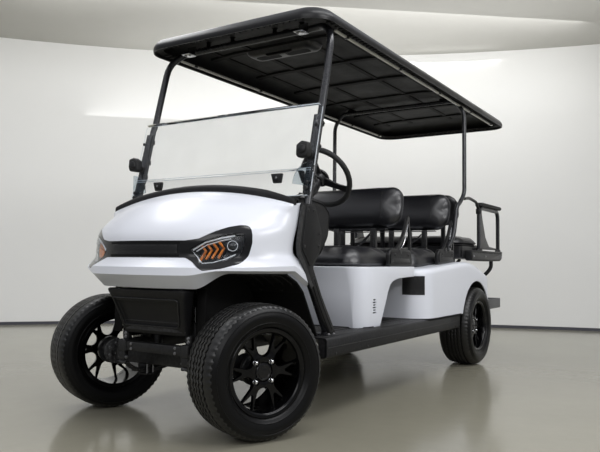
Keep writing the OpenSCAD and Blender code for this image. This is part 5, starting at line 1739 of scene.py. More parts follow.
def build_seat_frames():
    """Posts under the seat backs, hip plates at the bench ends and their arms."""
    shape = Shape()
    middle = WHEELBASE - 606
    for y, base, top in ((1420, 740.4, 985), (WHEELBASE - 345, deck_height(WHEELBASE - 300), 1010)):
        for x in (80, 350):
            shape.pair(block((x - 19, y + 16, base + 1), (x + 19, y + 44, top), 4), "satin_plastic")
            shape.pair(block((x - 9, y + 12, base + 20), (x + 9, y + 18, top - 20), 2), "plastic")
            shape.pair(block((x - 32, y + 4, base + 1), (x + 32, y + 56, base + 7), 2), "steel")
            for dx in (-25, 25):
                shape.pair(bolt(6, 4), "bare_steel", moved(x + dx, y + 30, base + 7))
        shape.add(strap([(-430, y + 52, top - 6), (430, y + 52, top - 6)], 3, 17), "steel")
        for x in (215, -215):
            shape.add(tube([(x - 100, y + 50, base + 30), (x + 100, y + 54, top - 30)], 5, sides=10),
                      "steel")
    for x in (120, 400):
        y = WHEELBASE - 62
        shape.pair(block((x - 16, y, 765), (x + 16, y + 25, 1062), 4), "satin_plastic")
        shape.pair(block((x - 30, y - 8, 758), (x + 30, y + 30, 766), 2), "steel")
    plates = [([(1215, 742), (1563, 742), (1563, 800), (1532, 845), (1440, 852), (1330, 850), (1240, 846),
                (1215, 822)], 0, 0), ([(middle, deck_height(middle) + 2),
                                       (middle + 330, deck_height(middle + 330) + 2), (middle + 330, 850),
                                       (middle + 300, 862), (middle + 180, 868), (middle + 30, 862),
                                       (middle, 832)], middle - 1218, 16)]
    for outline, dy, dz in plates:
        edge = round_corners(outline, 20, 5)
        shape.pair(rounded(prism(edge, 543, 568), 5, 3), "satin_plastic")
        shape.pair(rounded(prism(inset(edge, 16), 566, 573), 3, 2), "plastic")
        shape.pair(rounded(prism([(1262 + dy, 768 + dz), (1520 + dy, 768 + dz), (1500 + dy, 790 + dz),
                                 (1280 + dy, 790 + dz)], 571, 575), 1.5, 2), "satin_plastic")
        for y in (1290, 1490):
            shape.pair(button(9, 4), "satin_plastic", aimed((573, y + dy, 812 + dz), (1, 0, 0)))
        arm = [(558, 1262 + dy, 812 + dz), (557, 1350 + dy, 846 + dz), (553, 1446 + dy, 926 + dz),
               (550, 1530 + dy, 1058 + dz)]
        bar = [(-7, -13), (7, -13), (9, -8), (9, 8), (7, 13), (-7, 13), (-9, 8), (-9, -8)]
        shape.pair(tube(arm, 1, bend=90, section=bar), "satin_plastic")
        back_arm = [(557, 1548 + dy, 806 + dz), (554, 1556 + dy, 900 + dz), (551, 1532 + dy, 1056 + dz)]
        shape.pair(tube(back_arm, 1, bend=60, section=[(a * 0.8, b * 0.8) for a, b in bar]),
                   "satin_plastic")
        shape.pair(tube([(564, 1360 + dy, 838 + dz), (562, 1450 + dy, 880 + dz),
                         (556, 1524 + dy, 1010 + dz)], 3.2, 60, 10), "bright")
        shape.pair(turned([(0, 0), (20, 0), (20, 5), (16, 9), (0, 9)], 28), "satin_plastic",
                   aimed((566, 1376 + dy, 838 + dz), (1, 0, 0)))
    shape.piece("seat_frames", slot="black_plastic", replaces=["seat_brackets"], sharp=35)


def build_rear_seat():
    """The flip seat: its fixed base and rails on the cart, its deck and cushion on the hinge."""
    y0 = WHEELBASE - 30
    back = HINGE_Y - 20
    base = Shape()
    sizes = ((500, 34), (528, 10), (538, 2), (540, 0), (540, 0))
    tray = [round_rect((-a, y0 + b), (a, back - b), 26, 5) for a, b in sizes]
    base.add(stacked(tray, (800, 806, 822, 845, 899)), "satin_plastic")
    for k in range(7):
        x = -450 + 150 * k
        base.add(block((x - 8, y0 + 40, 797), (x + 8, back - 40, 806), 2), "satin_plastic")
    side = [(y0 + 60, 864), (y0 + 60, 800), (y0 + 90, 786), (y0 + 500, 782), (WHEELBASE + 820, 786),
            (WHEELBASE + 872, 806), (WHEELBASE + 885, 862)]
    base.pair(rounded(prism(round_corners(side, 16, 4), 545, 600), 9, 4), "plastic")
    base.pair(rounded(prism(round_corners(inset(round_corners(side, 16, 4), 14), 4, 1), 598, 603), 2, 2),
              "satin_plastic")
    base.pair(rounded(prism([(y0 + 70, 858), (WHEELBASE + 878, 858), (WHEELBASE + 880, 868),
                             (y0 + 68, 868)], 541, 602), 3, 2), "satin_plastic")
    for y in (y0 + 110, y0 + 420, WHEELBASE + 830):
        base.pair(bolt(8, 5), "bare_steel", aimed((602, y, 822), (1, 0, 0)))
    base.pair(block((538, y0 + 4, 802), (547, back - 4, 868), 2), "satin_plastic")
    base.pair(block((180, WHEELBASE + 425, 385), (220, WHEELBASE + 465, 897), 5), "chassis")
    base.pair(block((430, y0 + 6, 756), (480, y0 + 30, 897), 4), "chassis")
    base.pair(tube([(200, WHEELBASE + 445, 640), (430, WHEELBASE + 250, 792)], 12, sides=14), "chassis")
    hinge = turned([(6.3, 0), (12, 0), (12, 60), (6.3, 60)], 28, close=True)
    base.pair(hinge, "steel", moved(345, HINGE_Y, HINGE_Z) @ ACROSS)
    base.pair(block((345, HINGE_Y - 26, 889), (405, HINGE_Y - 10, 901), 2), "steel")
    base.piece("rear_seat_frame", slot="frame_steel", replaces=["rear_seat_base"], sharp=35)

    half = cad_box("rear_seat_deck")[1].x
    deck = Shape()
    deck.add(rounded(prism(round_rect((-half, WHEELBASE + 5), (half, HINGE_Y - 15), 20, 5), HINGE_Z + 0.3,
                           HINGE_Z + 8, "z"), 1.5, 2), "chassis")
    deck.pair(hinge, "steel", moved(275, HINGE_Y, HINGE_Z) @ ACROSS)
    deck.pair(turned([(0, 0), (5.9, 0), (5.9, 140), (0, 140)], 24), "bare_steel",
              moved(272, HINGE_Y, HINGE_Z) @ ACROSS)
    deck.pair(block((275, HINGE_Y - 24, HINGE_Z + 0.3), (335, HINGE_Y - 8, HINGE_Z + 9), 1.5), "steel")
    for x in (290, 320):
        deck.pair(bolt(5, 3), "bare_steel", moved(x, HINGE_Y - 19, HINGE_Z + 8.6))
    deck.piece("flip_seat_deck", "flip_seat", "frame_steel", ["rear_seat_deck"], sharp=35)

    bench_cushion("rear_bench", (-half, WHEELBASE + 8), (half, HINGE_Y - 30), HINGE_Z + 8, HINGE_Z + 8, 68,
                  ["rear_seat_cushion"], "flip_seat", cap=0.009)


def build_armrests():
    """The two rear rails with their pads and lower brackets."""
    shape = Shape()
    x = 565
    y0, y1 = WHEELBASE + 330, WHEELBASE + 870
    section = round_rect((-15, -15), (15, 15), 8, 3)
    shape.pair(tube([(x, y0, 866), (x, y0, 1220), (x, y1, 1220), (x, y1, 866)], 1, 70, section=section),
               "strut")
    sizes = ((24, 8), (33, 1), (34, 0), (33, 2), (26, 10))
    pad = [round_rect((-a, y0 - 6 + b), (a, y1 + 14 - b), 22, 6) for a, b in sizes]
    shape.pair(stacked(pad, (1232, 1237, 1248, 1258, 1263)), "soft_rubber", moved(x))
    panel = [(y0 + 14, 880), (y0 + 14, 1196), (y0 + 66, 1190), (y0 + 96, 1120), (y0 + 170, 980),
             (y0 + 270, 908), (y1 - 18, 892), (y1 - 18, 880)]
    grab = [(x + 9, WHEELBASE - 60, 1262), (x + 6, WHEELBASE + 60, 1278), (x, y0 - 70, 1262),
            (x, y0 - 6, 1206)]
    shape.pair(tube(grab, 12, 40, 16), "satin_plastic")
    shape.pair(block((x - 20, y0 - 22, 1168), (x + 20, y0 + 22, 1214), 6), "satin_plastic")
    shape.pair(rounded(prism(round_corners(panel, 14, 4), x - 3, x + 3), 1.5, 2), "satin_plastic")
    for y in (y0, y1):
        shape.pair(block((x - 24, y - 26, 864), (x + 24, y + 26, 872), 2), "steel")
        shape.pair(turned([(15.5, 0), (23, 0), (21, 14), (15.5, 18)], 24, close=True), "soft_rubber",
                   moved(x, y, 871))
        for dy in (-19, 19):
            shape.pair(bolt(5, 4), "bare_steel", moved(x, y + dy, 872))
    shape.piece("rear_rails", slot="frame_steel", replaces=["armrests"], sharp=35)


def build_footrest():
    """The rear foot plate with its tread, lips, brackets and struts."""
    y0 = WHEELBASE + 545
    tail = cad_box("footrest")[1].y
    shape = Shape()
    shape.add(rounded(prism(round_rect((-512, y0 + 2), (512, tail - 2), 14, 4), 371, 380, "z"), 2, 2),
              "foot_plate")
    shape.add(rounded(prism(round_corners([(-516, 366), (516, 366), (516, 442), (500, 451), (-500, 451),
                                           (-516, 442)], 8, 3), tail - 10, tail - 1, "y"), 2.5, 2),
              "foot_plate")
    shape.pair(rounded(prism(round_corners([(y0 + 2, 366), (tail - 2, 366), (tail - 2, 452), (y0 + 60, 452),
                                           (y0 + 2, 410)], 10, 3), 510, 517), 2, 2), "foot_plate")
    stud = turned([(0, 0), (3.4, 0), (2.4, 1.8), (0, 2.2)], 8)
    bar = ([(px * 4.2, py, z) for px, py, z in stud[0]], stud[1])
    for row in range(14):
        for k in range(24):
            x = -460 + 40 * k + (20 if row % 2 else 0)
            y = y0 + 40 + 35 * row
            if abs(x) < 490 and y < tail - 30:
                shape.add(bar, "foot_plate", moved(x, y, 379.6, 45 if (row + k) % 2 else -45))
    shape.pair(block((180, WHEELBASE + 470.4, 325), (220, tail - 60, 371), 4), "chassis")
    leg = [(480, WHEELBASE + 600, 440), (480, WHEELBASE + 600, 620), (572, WHEELBASE + 640, 720),
           (572, WHEELBASE + 640, 788)]
    shape.pair(tube(leg, 16, 50, 22), "chassis")
    shape.pair(block((458, WHEELBASE + 558, 380), (502, WHEELBASE + 642, 386), 2), "chassis")
    shape.pair(block((462, WHEELBASE + 582, 384), (466, WHEELBASE + 620, 450), 1), "chassis")
    shape.pair(block((494, WHEELBASE + 582, 384), (498, WHEELBASE + 620, 450), 1), "chassis")
    for dy in (570, 632):
        shape.pair(bolt(6, 4), "bare_steel", moved(480, WHEELBASE + dy, 386))
    for y in (y0 + 60, y0 + 260, y0 + 440):
        shape.pair(bolt(6, 4), "bare_steel", moved(200, y, 380))
    for x in (-430, 430):
        disc = turned([(0, 0), (32, 0), (32, 3), (28, 5), (0, 5)], 32)
        shape.add(disc, "red_lens", aimed((x, tail - 2, 408), (0, 1, 0)) @ moved(0, 0, -4))
    shape.piece("foot_plate", slot="frame_steel", replaces=["footrest"], sharp=35)


# ---------------------------------------------------------------- frame and running gear

RAIL_X = 200.0
RAIL_LOW, RAIL_TOP = 325.0, 385.0
PARK_TURN = math.degrees(math.atan2(WHEEL_AXIS.y, WHEEL_AXIS.x) if WHEEL_AXIS.x > 0 else
                         math.atan2(-WHEEL_AXIS.y, -WHEEL_AXIS.x))
SPRING_HALF = 23.0


def build_frame():
    """The steel chassis: rails, cross members, side brackets, shock towers and spring hangers."""
    shape = Shape()
    tail = WHEELBASE + 470
    shape.pair(block((RAIL_X - 25, -165, RAIL_LOW), (RAIL_X + 25, tail, RAIL_TOP), 7, 3), "chassis")
    for y in (-165, tail - 3):
        shape.pair(block((RAIL_X - 20, y - 0.5, RAIL_LOW + 5), (RAIL_X + 20, y + 3.5, RAIL_TOP - 5), 1.5),
                   "soft_rubber")
    for y in (-160, 330, 900, 1500, 2170, WHEELBASE + 420):
        shape.add(block((-RAIL_X + 20, y, RAIL_LOW + 8), (RAIL_X - 20, y + 45, RAIL_TOP - 8), 5), "chassis")
        shape.pair(tube([(RAIL_X - 26, y, RAIL_LOW + 9), (RAIL_X - 26, y, RAIL_TOP - 9)], 3, sides=8),
                   "chassis")
        for z in (RAIL_LOW + 18, RAIL_TOP - 18):
            shape.pair(bolt(5, 4), "bare_steel", aimed((RAIL_X - 60, y, z), (0, -1, 0)))
    for y in (430, 1000, 1480, 1900, 2215):
        arm = [(RAIL_X + 20, RAIL_TOP - 40), (500, RAIL_TOP - 22), (505, RAIL_TOP - 20), (505, RAIL_TOP),
               (RAIL_X + 20, RAIL_TOP)]
        shape.pair(rounded(prism(arm, y, y + 40, "y"), 2.5, 2), "chassis")
        for x in (300, 440):
            shape.pair(turned([(8, 0), (13, 0), (13, 2), (8, 2)], 20, close=True), "chassis",
                       aimed((x, y, RAIL_TOP - 20), (0, -1, 0)))
    gusset = [(RAIL_X - 22, 540), (RAIL_X - 22, 577), (RAIL_X - 70, 577)]
    for y in (-15, WHEELBASE + 90):
        shape.pair(block((RAIL_X - 20, y, RAIL_TOP - 4), (RAIL_X + 20, y + 30, 580), 4), "chassis")
        shape.add(block((-RAIL_X - 20, y, 575), (RAIL_X + 20, y + 30, 605), 4), "chassis")
        shape.pair(rounded(prism(gusset, y + 12, y + 18, "y"), 1, 1), "chassis")
        for dy in (-0.5, 30.5):
            for z in (410, 440):
                shape.pair(bolt(6, 4), "bare_steel", aimed((RAIL_X, y + dy, z),
                                                           (0, 1 if dy > 0 else -1, 0)))
    for y in (-150, 330):
        shape.pair(block((RAIL_X - 20, y - 12, 286.5), (RAIL_X + 20, y + 12, RAIL_LOW + 3), 3), "chassis")
        for x in (RAIL_X - 21, RAIL_X + 21):
            shape.pair(bolt(7, 5), "bare_steel", aimed((x, y, 300), (1 if x > RAIL_X else -1, 0, 0)))
    for y in (WHEELBASE - 400, WHEELBASE + 400):
        plate = [(RAIL_X + 22, RAIL_TOP - 5), (RAIL_X + 22, RAIL_TOP - 50), (300, AXLE_Z + 25.6),
                 (368, AXLE_Z + 25.6), (370, RAIL_TOP - 20), (360, RAIL_TOP - 5)]
        shape.pair(rounded(prism(plate, y - 15, y + 15, "y"), 3, 2), "chassis")
        for dy in (-15, 15):
            shape.pair(bolt(8, 5), "bare_steel", aimed((340, y + dy, AXLE_Z + 42), (0, dy, 0)))
    shape.piece("chassis_frame", slot="frame_steel", replaces=["frame_rails"], sharp=35)


def leaf_pack(front, back, drop, seat, fixed_x, centre_y):
    """A three-leaf spring with its clamps and U bolts, as a list of (part, finish)."""
    made = []
    for k, (reach, thick) in enumerate(((1.0, 6.0), (0.75, 6.0), (0.45, 6.0))):
        line = []
        n = 16
        for i in range(n + 1):
            y = -front * reach + (front + back) * reach * i / n
            share = abs(y) / (front if y < 0 else back)
            line.append((y, seat + drop * share ** 2 - k * thick))
        outline = [(centre_y + y, z) for y, z in line]
        outline += [(centre_y + y, z - thick + 0.5) for y, z in reversed(line)]
        made.append((rounded(prism(outline, fixed_x - SPRING_HALF, fixed_x + SPRING_HALF), 1.2, 1, 50),
                     "steel"))
    for y in (-0.42 * front, 0.42 * back):
        share = abs(y) / (front if y < 0 else back)
        z = seat + drop * share ** 2
        made.append((block((fixed_x - SPRING_HALF - 1, centre_y + y - 9, z - 17.5),
                           (fixed_x + SPRING_HALF + 1, centre_y + y + 9, z), 2), "chassis"))
    return made


def build_front_axle():
    """The front axle beam with its yokes and kingpins, the springs on it and the dampers."""
    beam = Shape()
    ring = round_corners([(-30, 252), (30, 252), (30, 318), (-30, 318)], 8, 3)
    beam.add(prism(ring, -345, 345), "chassis")
    for z in (236, 320):
        disc = turned([(8.4, 0.3), (23, 0.3), (24, 1.5), (24, 12.5), (23, 13.7), (8.4, 13.7)], 36,
                      close=True)
        beam.pair(disc, "chassis", moved(KINGPIN_X, 0, z))
        beam.pair(block((338, -23.5, z + 0.3), (KINGPIN_X - 12, 23.5, z + 13.7), 2), "chassis")
    beam.pair(block((336, -24, 237), (352, 24, 333.5), 3), "chassis")
    beam.pair(rounded(prism([(240, 321), (338, 321), (338, 352), (300, 345)], -5, 5, "y"), 2, 1), "chassis")
    pin = turned([(0, 0), (7.9, 0), (7.9, 104.5), (6, 106), (0, 106)], 24)
    beam.pair(pin, "bare_steel", moved(KINGPIN_X, 0, 232))
    beam.pair(bolt(8, 5, 1.5), "bare_steel", moved(KINGPIN_X, 0, 334))
    beam.pair(block((RAIL_X - 25, -28, 228.5), (RAIL_X + 25, 28, 252), 3), "chassis")
    for x in (RAIL_X - 30, RAIL_X + 30):
        for y in (-20, 20):
            beam.pair(tube([(x, y, 205), (x, y, 324)], 4.5, sides=10), "bare_steel")
            beam.pair(bolt(6, 5, 1.2), "bare_steel", moved(x, y, 320))
    beam.pair(block((RAIL_X - 36, -27, 198), (RAIL_X + 36, 27, 206), 2), "chassis")
    beam.piece("front_axle", slot="frame_steel", replaces=["front_axle_beam"], sharp=35)

    springs = Shape()
    packs = leaf_pack(150, 330, 60, 225.8, RAIL_X, 0) + leaf_pack(400, 400, 60, AXLE_Z - 35, 340, WHEELBASE)
    for part, name in packs:
        springs.pair(part, name)
    for x, y, z in ((RAIL_X, -150, 282), (RAIL_X, 330, 282), (340, WHEELBASE - 400, AXLE_Z + 21),
                    (340, WHEELBASE + 400, AXLE_Z + 21)):
        eye = turned([(5, -23), (8.6, -23), (8.6, 23), (5, 23)], 24, close=True)
        springs.pair(eye, "steel", moved(x, y, z - 6) @ ACROSS)
    springs.piece("springs", slot="frame_steel", replaces=["leaf_springs"], sharp=35)

    dampers = Shape()
    for y, low, tall in ((0, 320.4, 254.2), (WHEELBASE + 105, AXLE_Z + 5.4, 277.2)):
        at = moved(120, y, low)
        dampers.pair(turned([(0, 0), (13.5, 0), (13.5, 12), (9, 18), (9, 26), (0, 26)], 28), "chassis", at)
        body = [(0, 24), (20, 24), (23.5, 28), (23.5, 142), (20, 149), (12, 150), (0, 150)]
        dampers.pair(turned(body, 36), "satin_plastic", at)
        dampers.pair(turned([(0, 149), (7, 149), (7, tall - 30), (0, tall - 30)], 24), "bright", at)
        boot = [(7.5, tall - 31)]
        for k in range(5):
            boot += [(12, tall - 29 + 5.4 * k), (9, tall - 26.5 + 5.4 * k)]
        dampers.pair(turned([(0, tall - 31)] + boot + [(8.9, tall - 0.5), (0, tall - 0.5)], 28),
                     "soft_rubber", at)
        coil = [(120 + 21.3 * math.cos(math.tau * k / 14), y + 21.3 * math.sin(math.tau * k / 14),
                 low + 34 + 108 * k / 98) for k in range(99)]
        dampers.pair(tube(coil, 2.6, sides=8), "steel")
    dampers.piece("dampers", slot="frame_steel", replaces=["shock_absorbers"], sharp=35)


def build_knuckles():
    """Steering knuckles with spindle, brake plate and arm, and the rod that ties them."""
    for side, name in ((1, "left"), (-1, "right")):
        shape = Shape()
        at = moved(side * KINGPIN_X, turn=PARK_TURN)
        flip_side = Matrix.Scale(-1, 4, (1, 0, 0)) if side < 0 else Matrix.Identity(4)

        def add(part, finish_name, move=Matrix.Identity(4), mirrored_too=True):
            part = shifted(part, (at @ flip_side if mirrored_too else at) @ move)
            shape.add(reverse_faces(part) if side < 0 and mirrored_too else part, finish_name)

        add(turned([(8.3, 251.5), (18, 251.5), (20.7, 255), (20.7, 315), (18, 318.5), (8.3, 318.5)], 36,
                   close=True), "chassis")
        for z in (264, 306):
            add(turned([(20.5, z - 3), (22.2, z - 2), (22.2, z + 2), (20.5, z + 3)], 36, close=True),
                "chassis")
        add(button(3.5, 5), "bare_steel", aimed((0, -20, 285), (0, -1, 0)))
        out = moved(0, 0, AXLE_Z) @ ACROSS
        add(turned([(0, 10), (25, 10), (26, 18), (26, 40), (30, 44.5), (0, 44.5)], 36), "chassis", out)
        add(turned([(0, 44), (60, 44), (63, 46), (63, 49), (50, 49), (46, 47), (0, 47)], 60), "steel", out)
        for k in range(6):
            add(bolt(6, 4), "bare_steel", out @ moved(38 * math.cos(math.tau * k / 6),
                                                                    38 * math.sin(math.tau * k / 6), 44) @
                Matrix.Rotation(math.pi, 4, "X"))
        add(turned([(0, 40), (15.8, 40), (15.8, 186), (11, 188), (11, 193), (0, 193.5)], 30), "bare_steel",
            out)
        arm = round_corners([(-12.5, 19), (12.5, 19), (12.5, 108), (8, 119), (-8, 119), (-12.5, 108)], 5, 3)
        add(rounded(prism(arm, 290.5, 302.5, "z"), 2, 2), "chassis", mirrored_too=False)
        add(turned([(0, 290.3), (13, 290.3), (14.8, 292), (14.8, 301), (13, 302.8), (0, 302.8)], 30),
            "chassis", moved(0, 120, 0), False)
        add(turned([(0, 262.5), (5.8, 262.5), (5.8, 291), (0, 291)], 20), "bare_steel", moved(0, 120, 0),
            False)
        add(bolt(7, 5), "bare_steel", moved(0, 120, 302.6), False)
        shape.piece("knuckle_" + name + "_forged", "knuckle_" + name, "frame_steel", ["knuckle_" + name],
                    sharp=35)

    turn = math.radians(PARK_TURN)
    middle = Vector((-120 * math.sin(turn), 120 * math.cos(turn), 276))
    rod = Shape()
    ends = [middle + Vector((s * KINGPIN_X, 0, 0)) for s in (-1, 1)]
    line = [ends[0] + (ends[1] - ends[0]) * t for t in (0.02, 0.12, 0.88, 0.98)]
    rod.add(tube(line, 7.8, sides=20), "steel")
    eye = [(6.3, -9.5), (12, -9.5), (13.8, -7), (13.8, 7), (12, 9.5), (6.3, 9.5)]
    collar = turned([(7.5, -1.2), (8.6, 0), (7.5, 1.2)], 20, close=True)
    for s, end in zip((1, -1), ends):
        move = Matrix.Translation(end)
        rod.add(turned(eye, 32, close=True), "chassis", move)
        for k in range(9):
            rod.add(collar, "bare_steel", move @ moved(s * (24 + 3.2 * k)) @ ACROSS)
        nut = rounded(prism(circle(11.5, 6), -4, 4, "z"), 1, 1)
        rod.add(nut, "bare_steel", move @ moved(s * 58) @ ACROSS)
    rod.piece("tie_rod_tube", "tie_rod", "frame_steel", ["tie_rod"], sharp=35)


def build_rear_axle():
    """The rear axle: tubes, gear housing, motor and brake drums."""
    shape = Shape()
    at = moved(0, WHEELBASE, AXLE_Z)
    w = REAR_TRACK
    across = at @ ACROSS
    tube_side = [(0, 60), (40, 62), (30, 84), (27.8, 92), (27.8, w - 112), (34, w - 108), (34, w - 100),
                 (0, w - 100)]
    shape.pair(turned(tube_side, 36), "chassis", across)
    shape.pair(turned([(0, w - 102), (15.8, w - 102), (15.8, w + 58), (0, w + 60)], 24), "bare_steel",
               across)
    bulge = [(math.sqrt(86 ** 2 - z * z), z) for z in (8, 20, 36, 50, 60)]
    ball = [(0, -62)] + [(r, -z) for r, z in bulge[::-1]] + [(91, -7), (92, -4), (92, 4),
                                                             (91, 7)] + bulge + [(0, 62)]
    housing = carve(shifted(turned(ball, 60), ACROSS), [box((-200, -200, 76), (200, 200, 300))])
    shape.add(housing, "chassis", at)
    for k in range(10):
        a = math.radians(-60 + 33.3 * k)
        y, z = 84 * math.cos(a), 84 * math.sin(a)
        if z < 70:
            shape.add(bolt(5, 4), "bare_steel", aimed((8, WHEELBASE + y, AXLE_Z + z), (1, 0, 0)))
    drum = [(0, w - 94), (60, w - 94), (76, w - 90), (90, w - 86), (91.5, w - 84), (91.5, w - 52),
            (86, w - 50.5), (0, w - 50.5)]
    shape.pair(turned(drum, 60), "steel", across)
    for k in range(4):
        ring = turned([(91, w - 80 + 8 * k), (92, w - 79.5 + 8 * k), (92, w - 76.5 + 8 * k),
                       (91, w - 76 + 8 * k)], 60, close=True)
        shape.pair(ring, "steel", across)
    motor = at @ moved(-30, -150, -10) @ ACROSS
    shape.add(turned([(0, 0), (60, 0), (70, 3), (73, 8), (73, 16), (66, 20), (66, 175), (73, 179),
                      (73, 193), (0, 195)], 48), "chassis", motor)
    for k in range(30):
        a = math.tau * k / 30
        fin = box((65, -1.5, 22), (73.5, 1.5, 173))
        shape.add(fin, "steel", motor @ Matrix.Rotation(a, 4, "Z"))
    for k in range(4):
        a = math.tau * (k + 0.5) / 4
        shape.add(bolt(5, 4), "bare_steel", motor @ moved(56 * math.cos(a), 56 * math.sin(a), 0) @
                  Matrix.Rotation(math.pi, 4, "X"))
    for k in range(3):
        shape.add(turned([(0, 0), (7, 0), (7, 10), (4, 12), (4, 20), (0, 20)], 20), "bright",
                  motor @ moved(-45, -20 + 20 * k, 193))
    shape.add(block((2, WHEELBASE - 148, AXLE_Z - 58), (78, WHEELBASE - 2, AXLE_Z + 48), 14, 4), "chassis")
    shape.pair(block((315, WHEELBASE - 27, AXLE_Z - 33.5), (365, WHEELBASE + 27, AXLE_Z - 1), 3), "chassis")
    for dx in (-24, 24):
        for dy in (-21, 21):
            shape.pair(tube([(340 + dx, WHEELBASE + dy, AXLE_Z - 62),
                             (340 + dx, WHEELBASE + dy, AXLE_Z + 34)], 4.5, sides=10), "bare_steel")
    for dy in (-21, 21):
        shape.pair(tube([(316, WHEELBASE + dy, AXLE_Z + 26), (316, WHEELBASE + dy, AXLE_Z + 36),
                         (364, WHEELBASE + dy, AXLE_Z + 36), (364, WHEELBASE + dy, AXLE_Z + 26)], 4.5, 9,
                        10), "bare_steel")
    shape.pair(block((308, WHEELBASE - 30, AXLE_Z - 60), (372, WHEELBASE + 30, AXLE_Z - 53), 2), "chassis")
    bracket = [(0, -15), (125, -15), (125, 5), (60, 5), (0, 5)]
    shape.pair(rounded(prism([(WHEELBASE + y, AXLE_Z + z) for y, z in bracket], 106, 134), 3, 2), "chassis")
    shape.piece("rear_axle_unit", slot="frame_steel", replaces=["rear_axle"], sharp=35)


def build_battery():
    """The battery block under the middle seat, with its lid, handles and posts."""
    low, high = cad_box("battery_pack")
    shape = Shape()
    shape.add(block((low.x, low.y, low.z + 0.2), (high.x, high.y, high.z - 60), 10, 3), "battery")
    shape.add(block((low.x + 3, low.y + 3, high.z - 56), (high.x - 3, high.y - 3, high.z - 16), 12, 4),
              "satin_plastic")
    for k in range(9):
        x = low.x + 40 + k * (high.x - low.x - 92) / 8
        shape.add(block((x, low.y, low.z + 30), (x + 12, low.y + 4, high.z - 80), 1.5, 1), "battery")
        shape.add(block((x, high.y - 4, low.z + 30), (x + 12, high.y, high.z - 80), 1.5, 1), "battery")
    for y in (low.y + 120, high.y - 120):
        path = [(-90, y, high.z - 18), (-90, y, high.z - 2), (90, y, high.z - 2), (90, y, high.z - 18)]
        shape.add(strap(path, 9, 2, 14), "soft_rubber")
    for x in (low.x + 60, high.x - 60):
        shape.add(turned([(0, 0), (15, 0), (15, 6), (9, 8), (9, 15), (0, 15)], 28), "bright",
                  moved(x, (low.y + high.y) / 2, high.z - 17))
    shape.piece("battery_case", slot="black_plastic", replaces=["battery_pack"], sharp=35)


# ---------------------------------------------------------------- wheels

RIM_RADIUS = 173.0
TYRE_HALF = 122.0


def tread_radius(z):
    """Outer radius of the tread at a distance from the middle of the tyre."""
    return TYRE_RADIUS - 0.4 - 7.0 * (abs(z) / 96.0) ** 4


def tyre_carcass():
    """The tyre without its tread blocks, as a closed turned body."""
    r, w = TYRE_RADIUS, TYRE_HALF
    side = [(RIM_RADIUS + 1, w - 27), (RIM_RADIUS + 17, w - 26.5), (RIM_RADIUS + 19.5, w - 18),
            (RIM_RADIUS + 27, w - 11), (RIM_RADIUS + 36, w - 6.2), (RIM_RADIUS + 37, w - 4.6),
            (RIM_RADIUS + 40, w - 4.2), (RIM_RADIUS + 41, w - 5), (r - 60, w - 0.6), (r - 52, w - 0.3),
            (r - 44, w - 1.8), (r - 36, w - 3.6), (r - 35, w - 2.4), (r - 32, w - 2.8), (r - 31, w - 5),
            (r - 24, w - 10), (r - 19, w - 14.5), (r - 15, w - 20), (r - 12.5, w - 27), (r - 10.5, w - 38),
            (r - 9, w - 70), (r - 8.6, 0)]
    profile = [(a, -b) for a, b in side] + [(a, b) for a, b in reversed(side[:-1])]
    inner = [(RIM_RADIUS + 1, w - 45), (RIM_RADIUS + 10, w - 46), (RIM_RADIUS + 26, w - 28),
             (r - 70, w - 15), (r - 40, w - 18), (r - 26, w - 28), (r - 19, w - 62)]
    profile += inner + [(a, -b) for a, b in reversed(inner)]
    return turned(profile, 96, close=True)


def tread_rib(low, high, swing, steps=128, waves=64):
    """One zigzag rib of tread round the tyre."""
    rings = []
    for k in range(steps):
        a = math.tau * k / steps
        share = (k * waves / steps) % 1.0
        shift = swing * (4 * abs(share - 0.5) - 1)
        z0, z1 = low + shift, high + shift
        base = TYRE_RADIUS - 11
        ring = [(base, z0), (tread_radius(z0) - 1.2, z0 + 0.6), (tread_radius(z0), z0 + 1.8),
                (tread_radius((z0 + z1) / 2), (z0 + z1) / 2), (tread_radius(z1), z1 - 1.8),
                (tread_radius(z1) - 1.2, z1 - 0.6), (base, z1)]
        rings.append([(r * math.cos(a), r * math.sin(a), z) for r, z in ring])
    return reverse_faces(looped(rings))


def shoulder_blocks(count=64):
    """The outer ribs of the tread, with a zigzag inner side and saw teeth where they meet the sides."""
    parts = []
    steps = count * 4
    for side in (1, -1):
        rings = []
        for k in range(steps):
            a = math.tau * k / steps
            share = (k / 4.0) % 1.0
            tooth = 1.0 if share < 0.5 else 0.0
            wave = side * 4.0 * (4 * abs(share - 0.5) - 1)
            z0 = 61 + wave
            ring = [(TYRE_RADIUS - 11, z0), (tread_radius(z0) - 1.2, z0 + 0.6), (tread_radius(z0), z0 + 2),
                    (tread_radius(80), 80), (tread_radius(90) - 0.4 - 2.2 * tooth, 90),
                    (TYRE_RADIUS - 8.2 - 3.4 * tooth, 98), (TYRE_RADIUS - 14.2 - 3.0 * tooth,
                                                            104 - 1.2 * tooth), (TYRE_RADIUS - 22,
                                                                                 108.6 - 1.6 * tooth),
                    (TYRE_RADIUS - 25, 106), (TYRE_RADIUS - 20, 90)]
            rings.append([(r * math.cos(a), r * math.sin(a), side * z) for r, z in ring])
        parts.append(reverse_faces(looped(rings)) if side > 0 else looped(rings))
    return join(*parts)


def window_outline(r, grow=0.0):
    """One window between the spokes, in the plane of the wheel, centred on +x."""
    return (arc((r - 72, 0), 32 + grow, 104, 256, 14) + arc((r - 18, -36), 12 + grow, -104, 0, 7)
            + arc((r - 18, 36), 12 + grow, 0, 104, 7))


def notch_outline(r, grow=0.0):
    """One small notch at the rim end of a spoke, in the same plane."""
    return (arc((r - 56, 0), 6 + grow, 118, 242, 5) + arc((r - 14, -19), 6 + grow, -118, 0, 5)
            + arc((r - 14, 19), 6 + grow, 0, 118, 5))


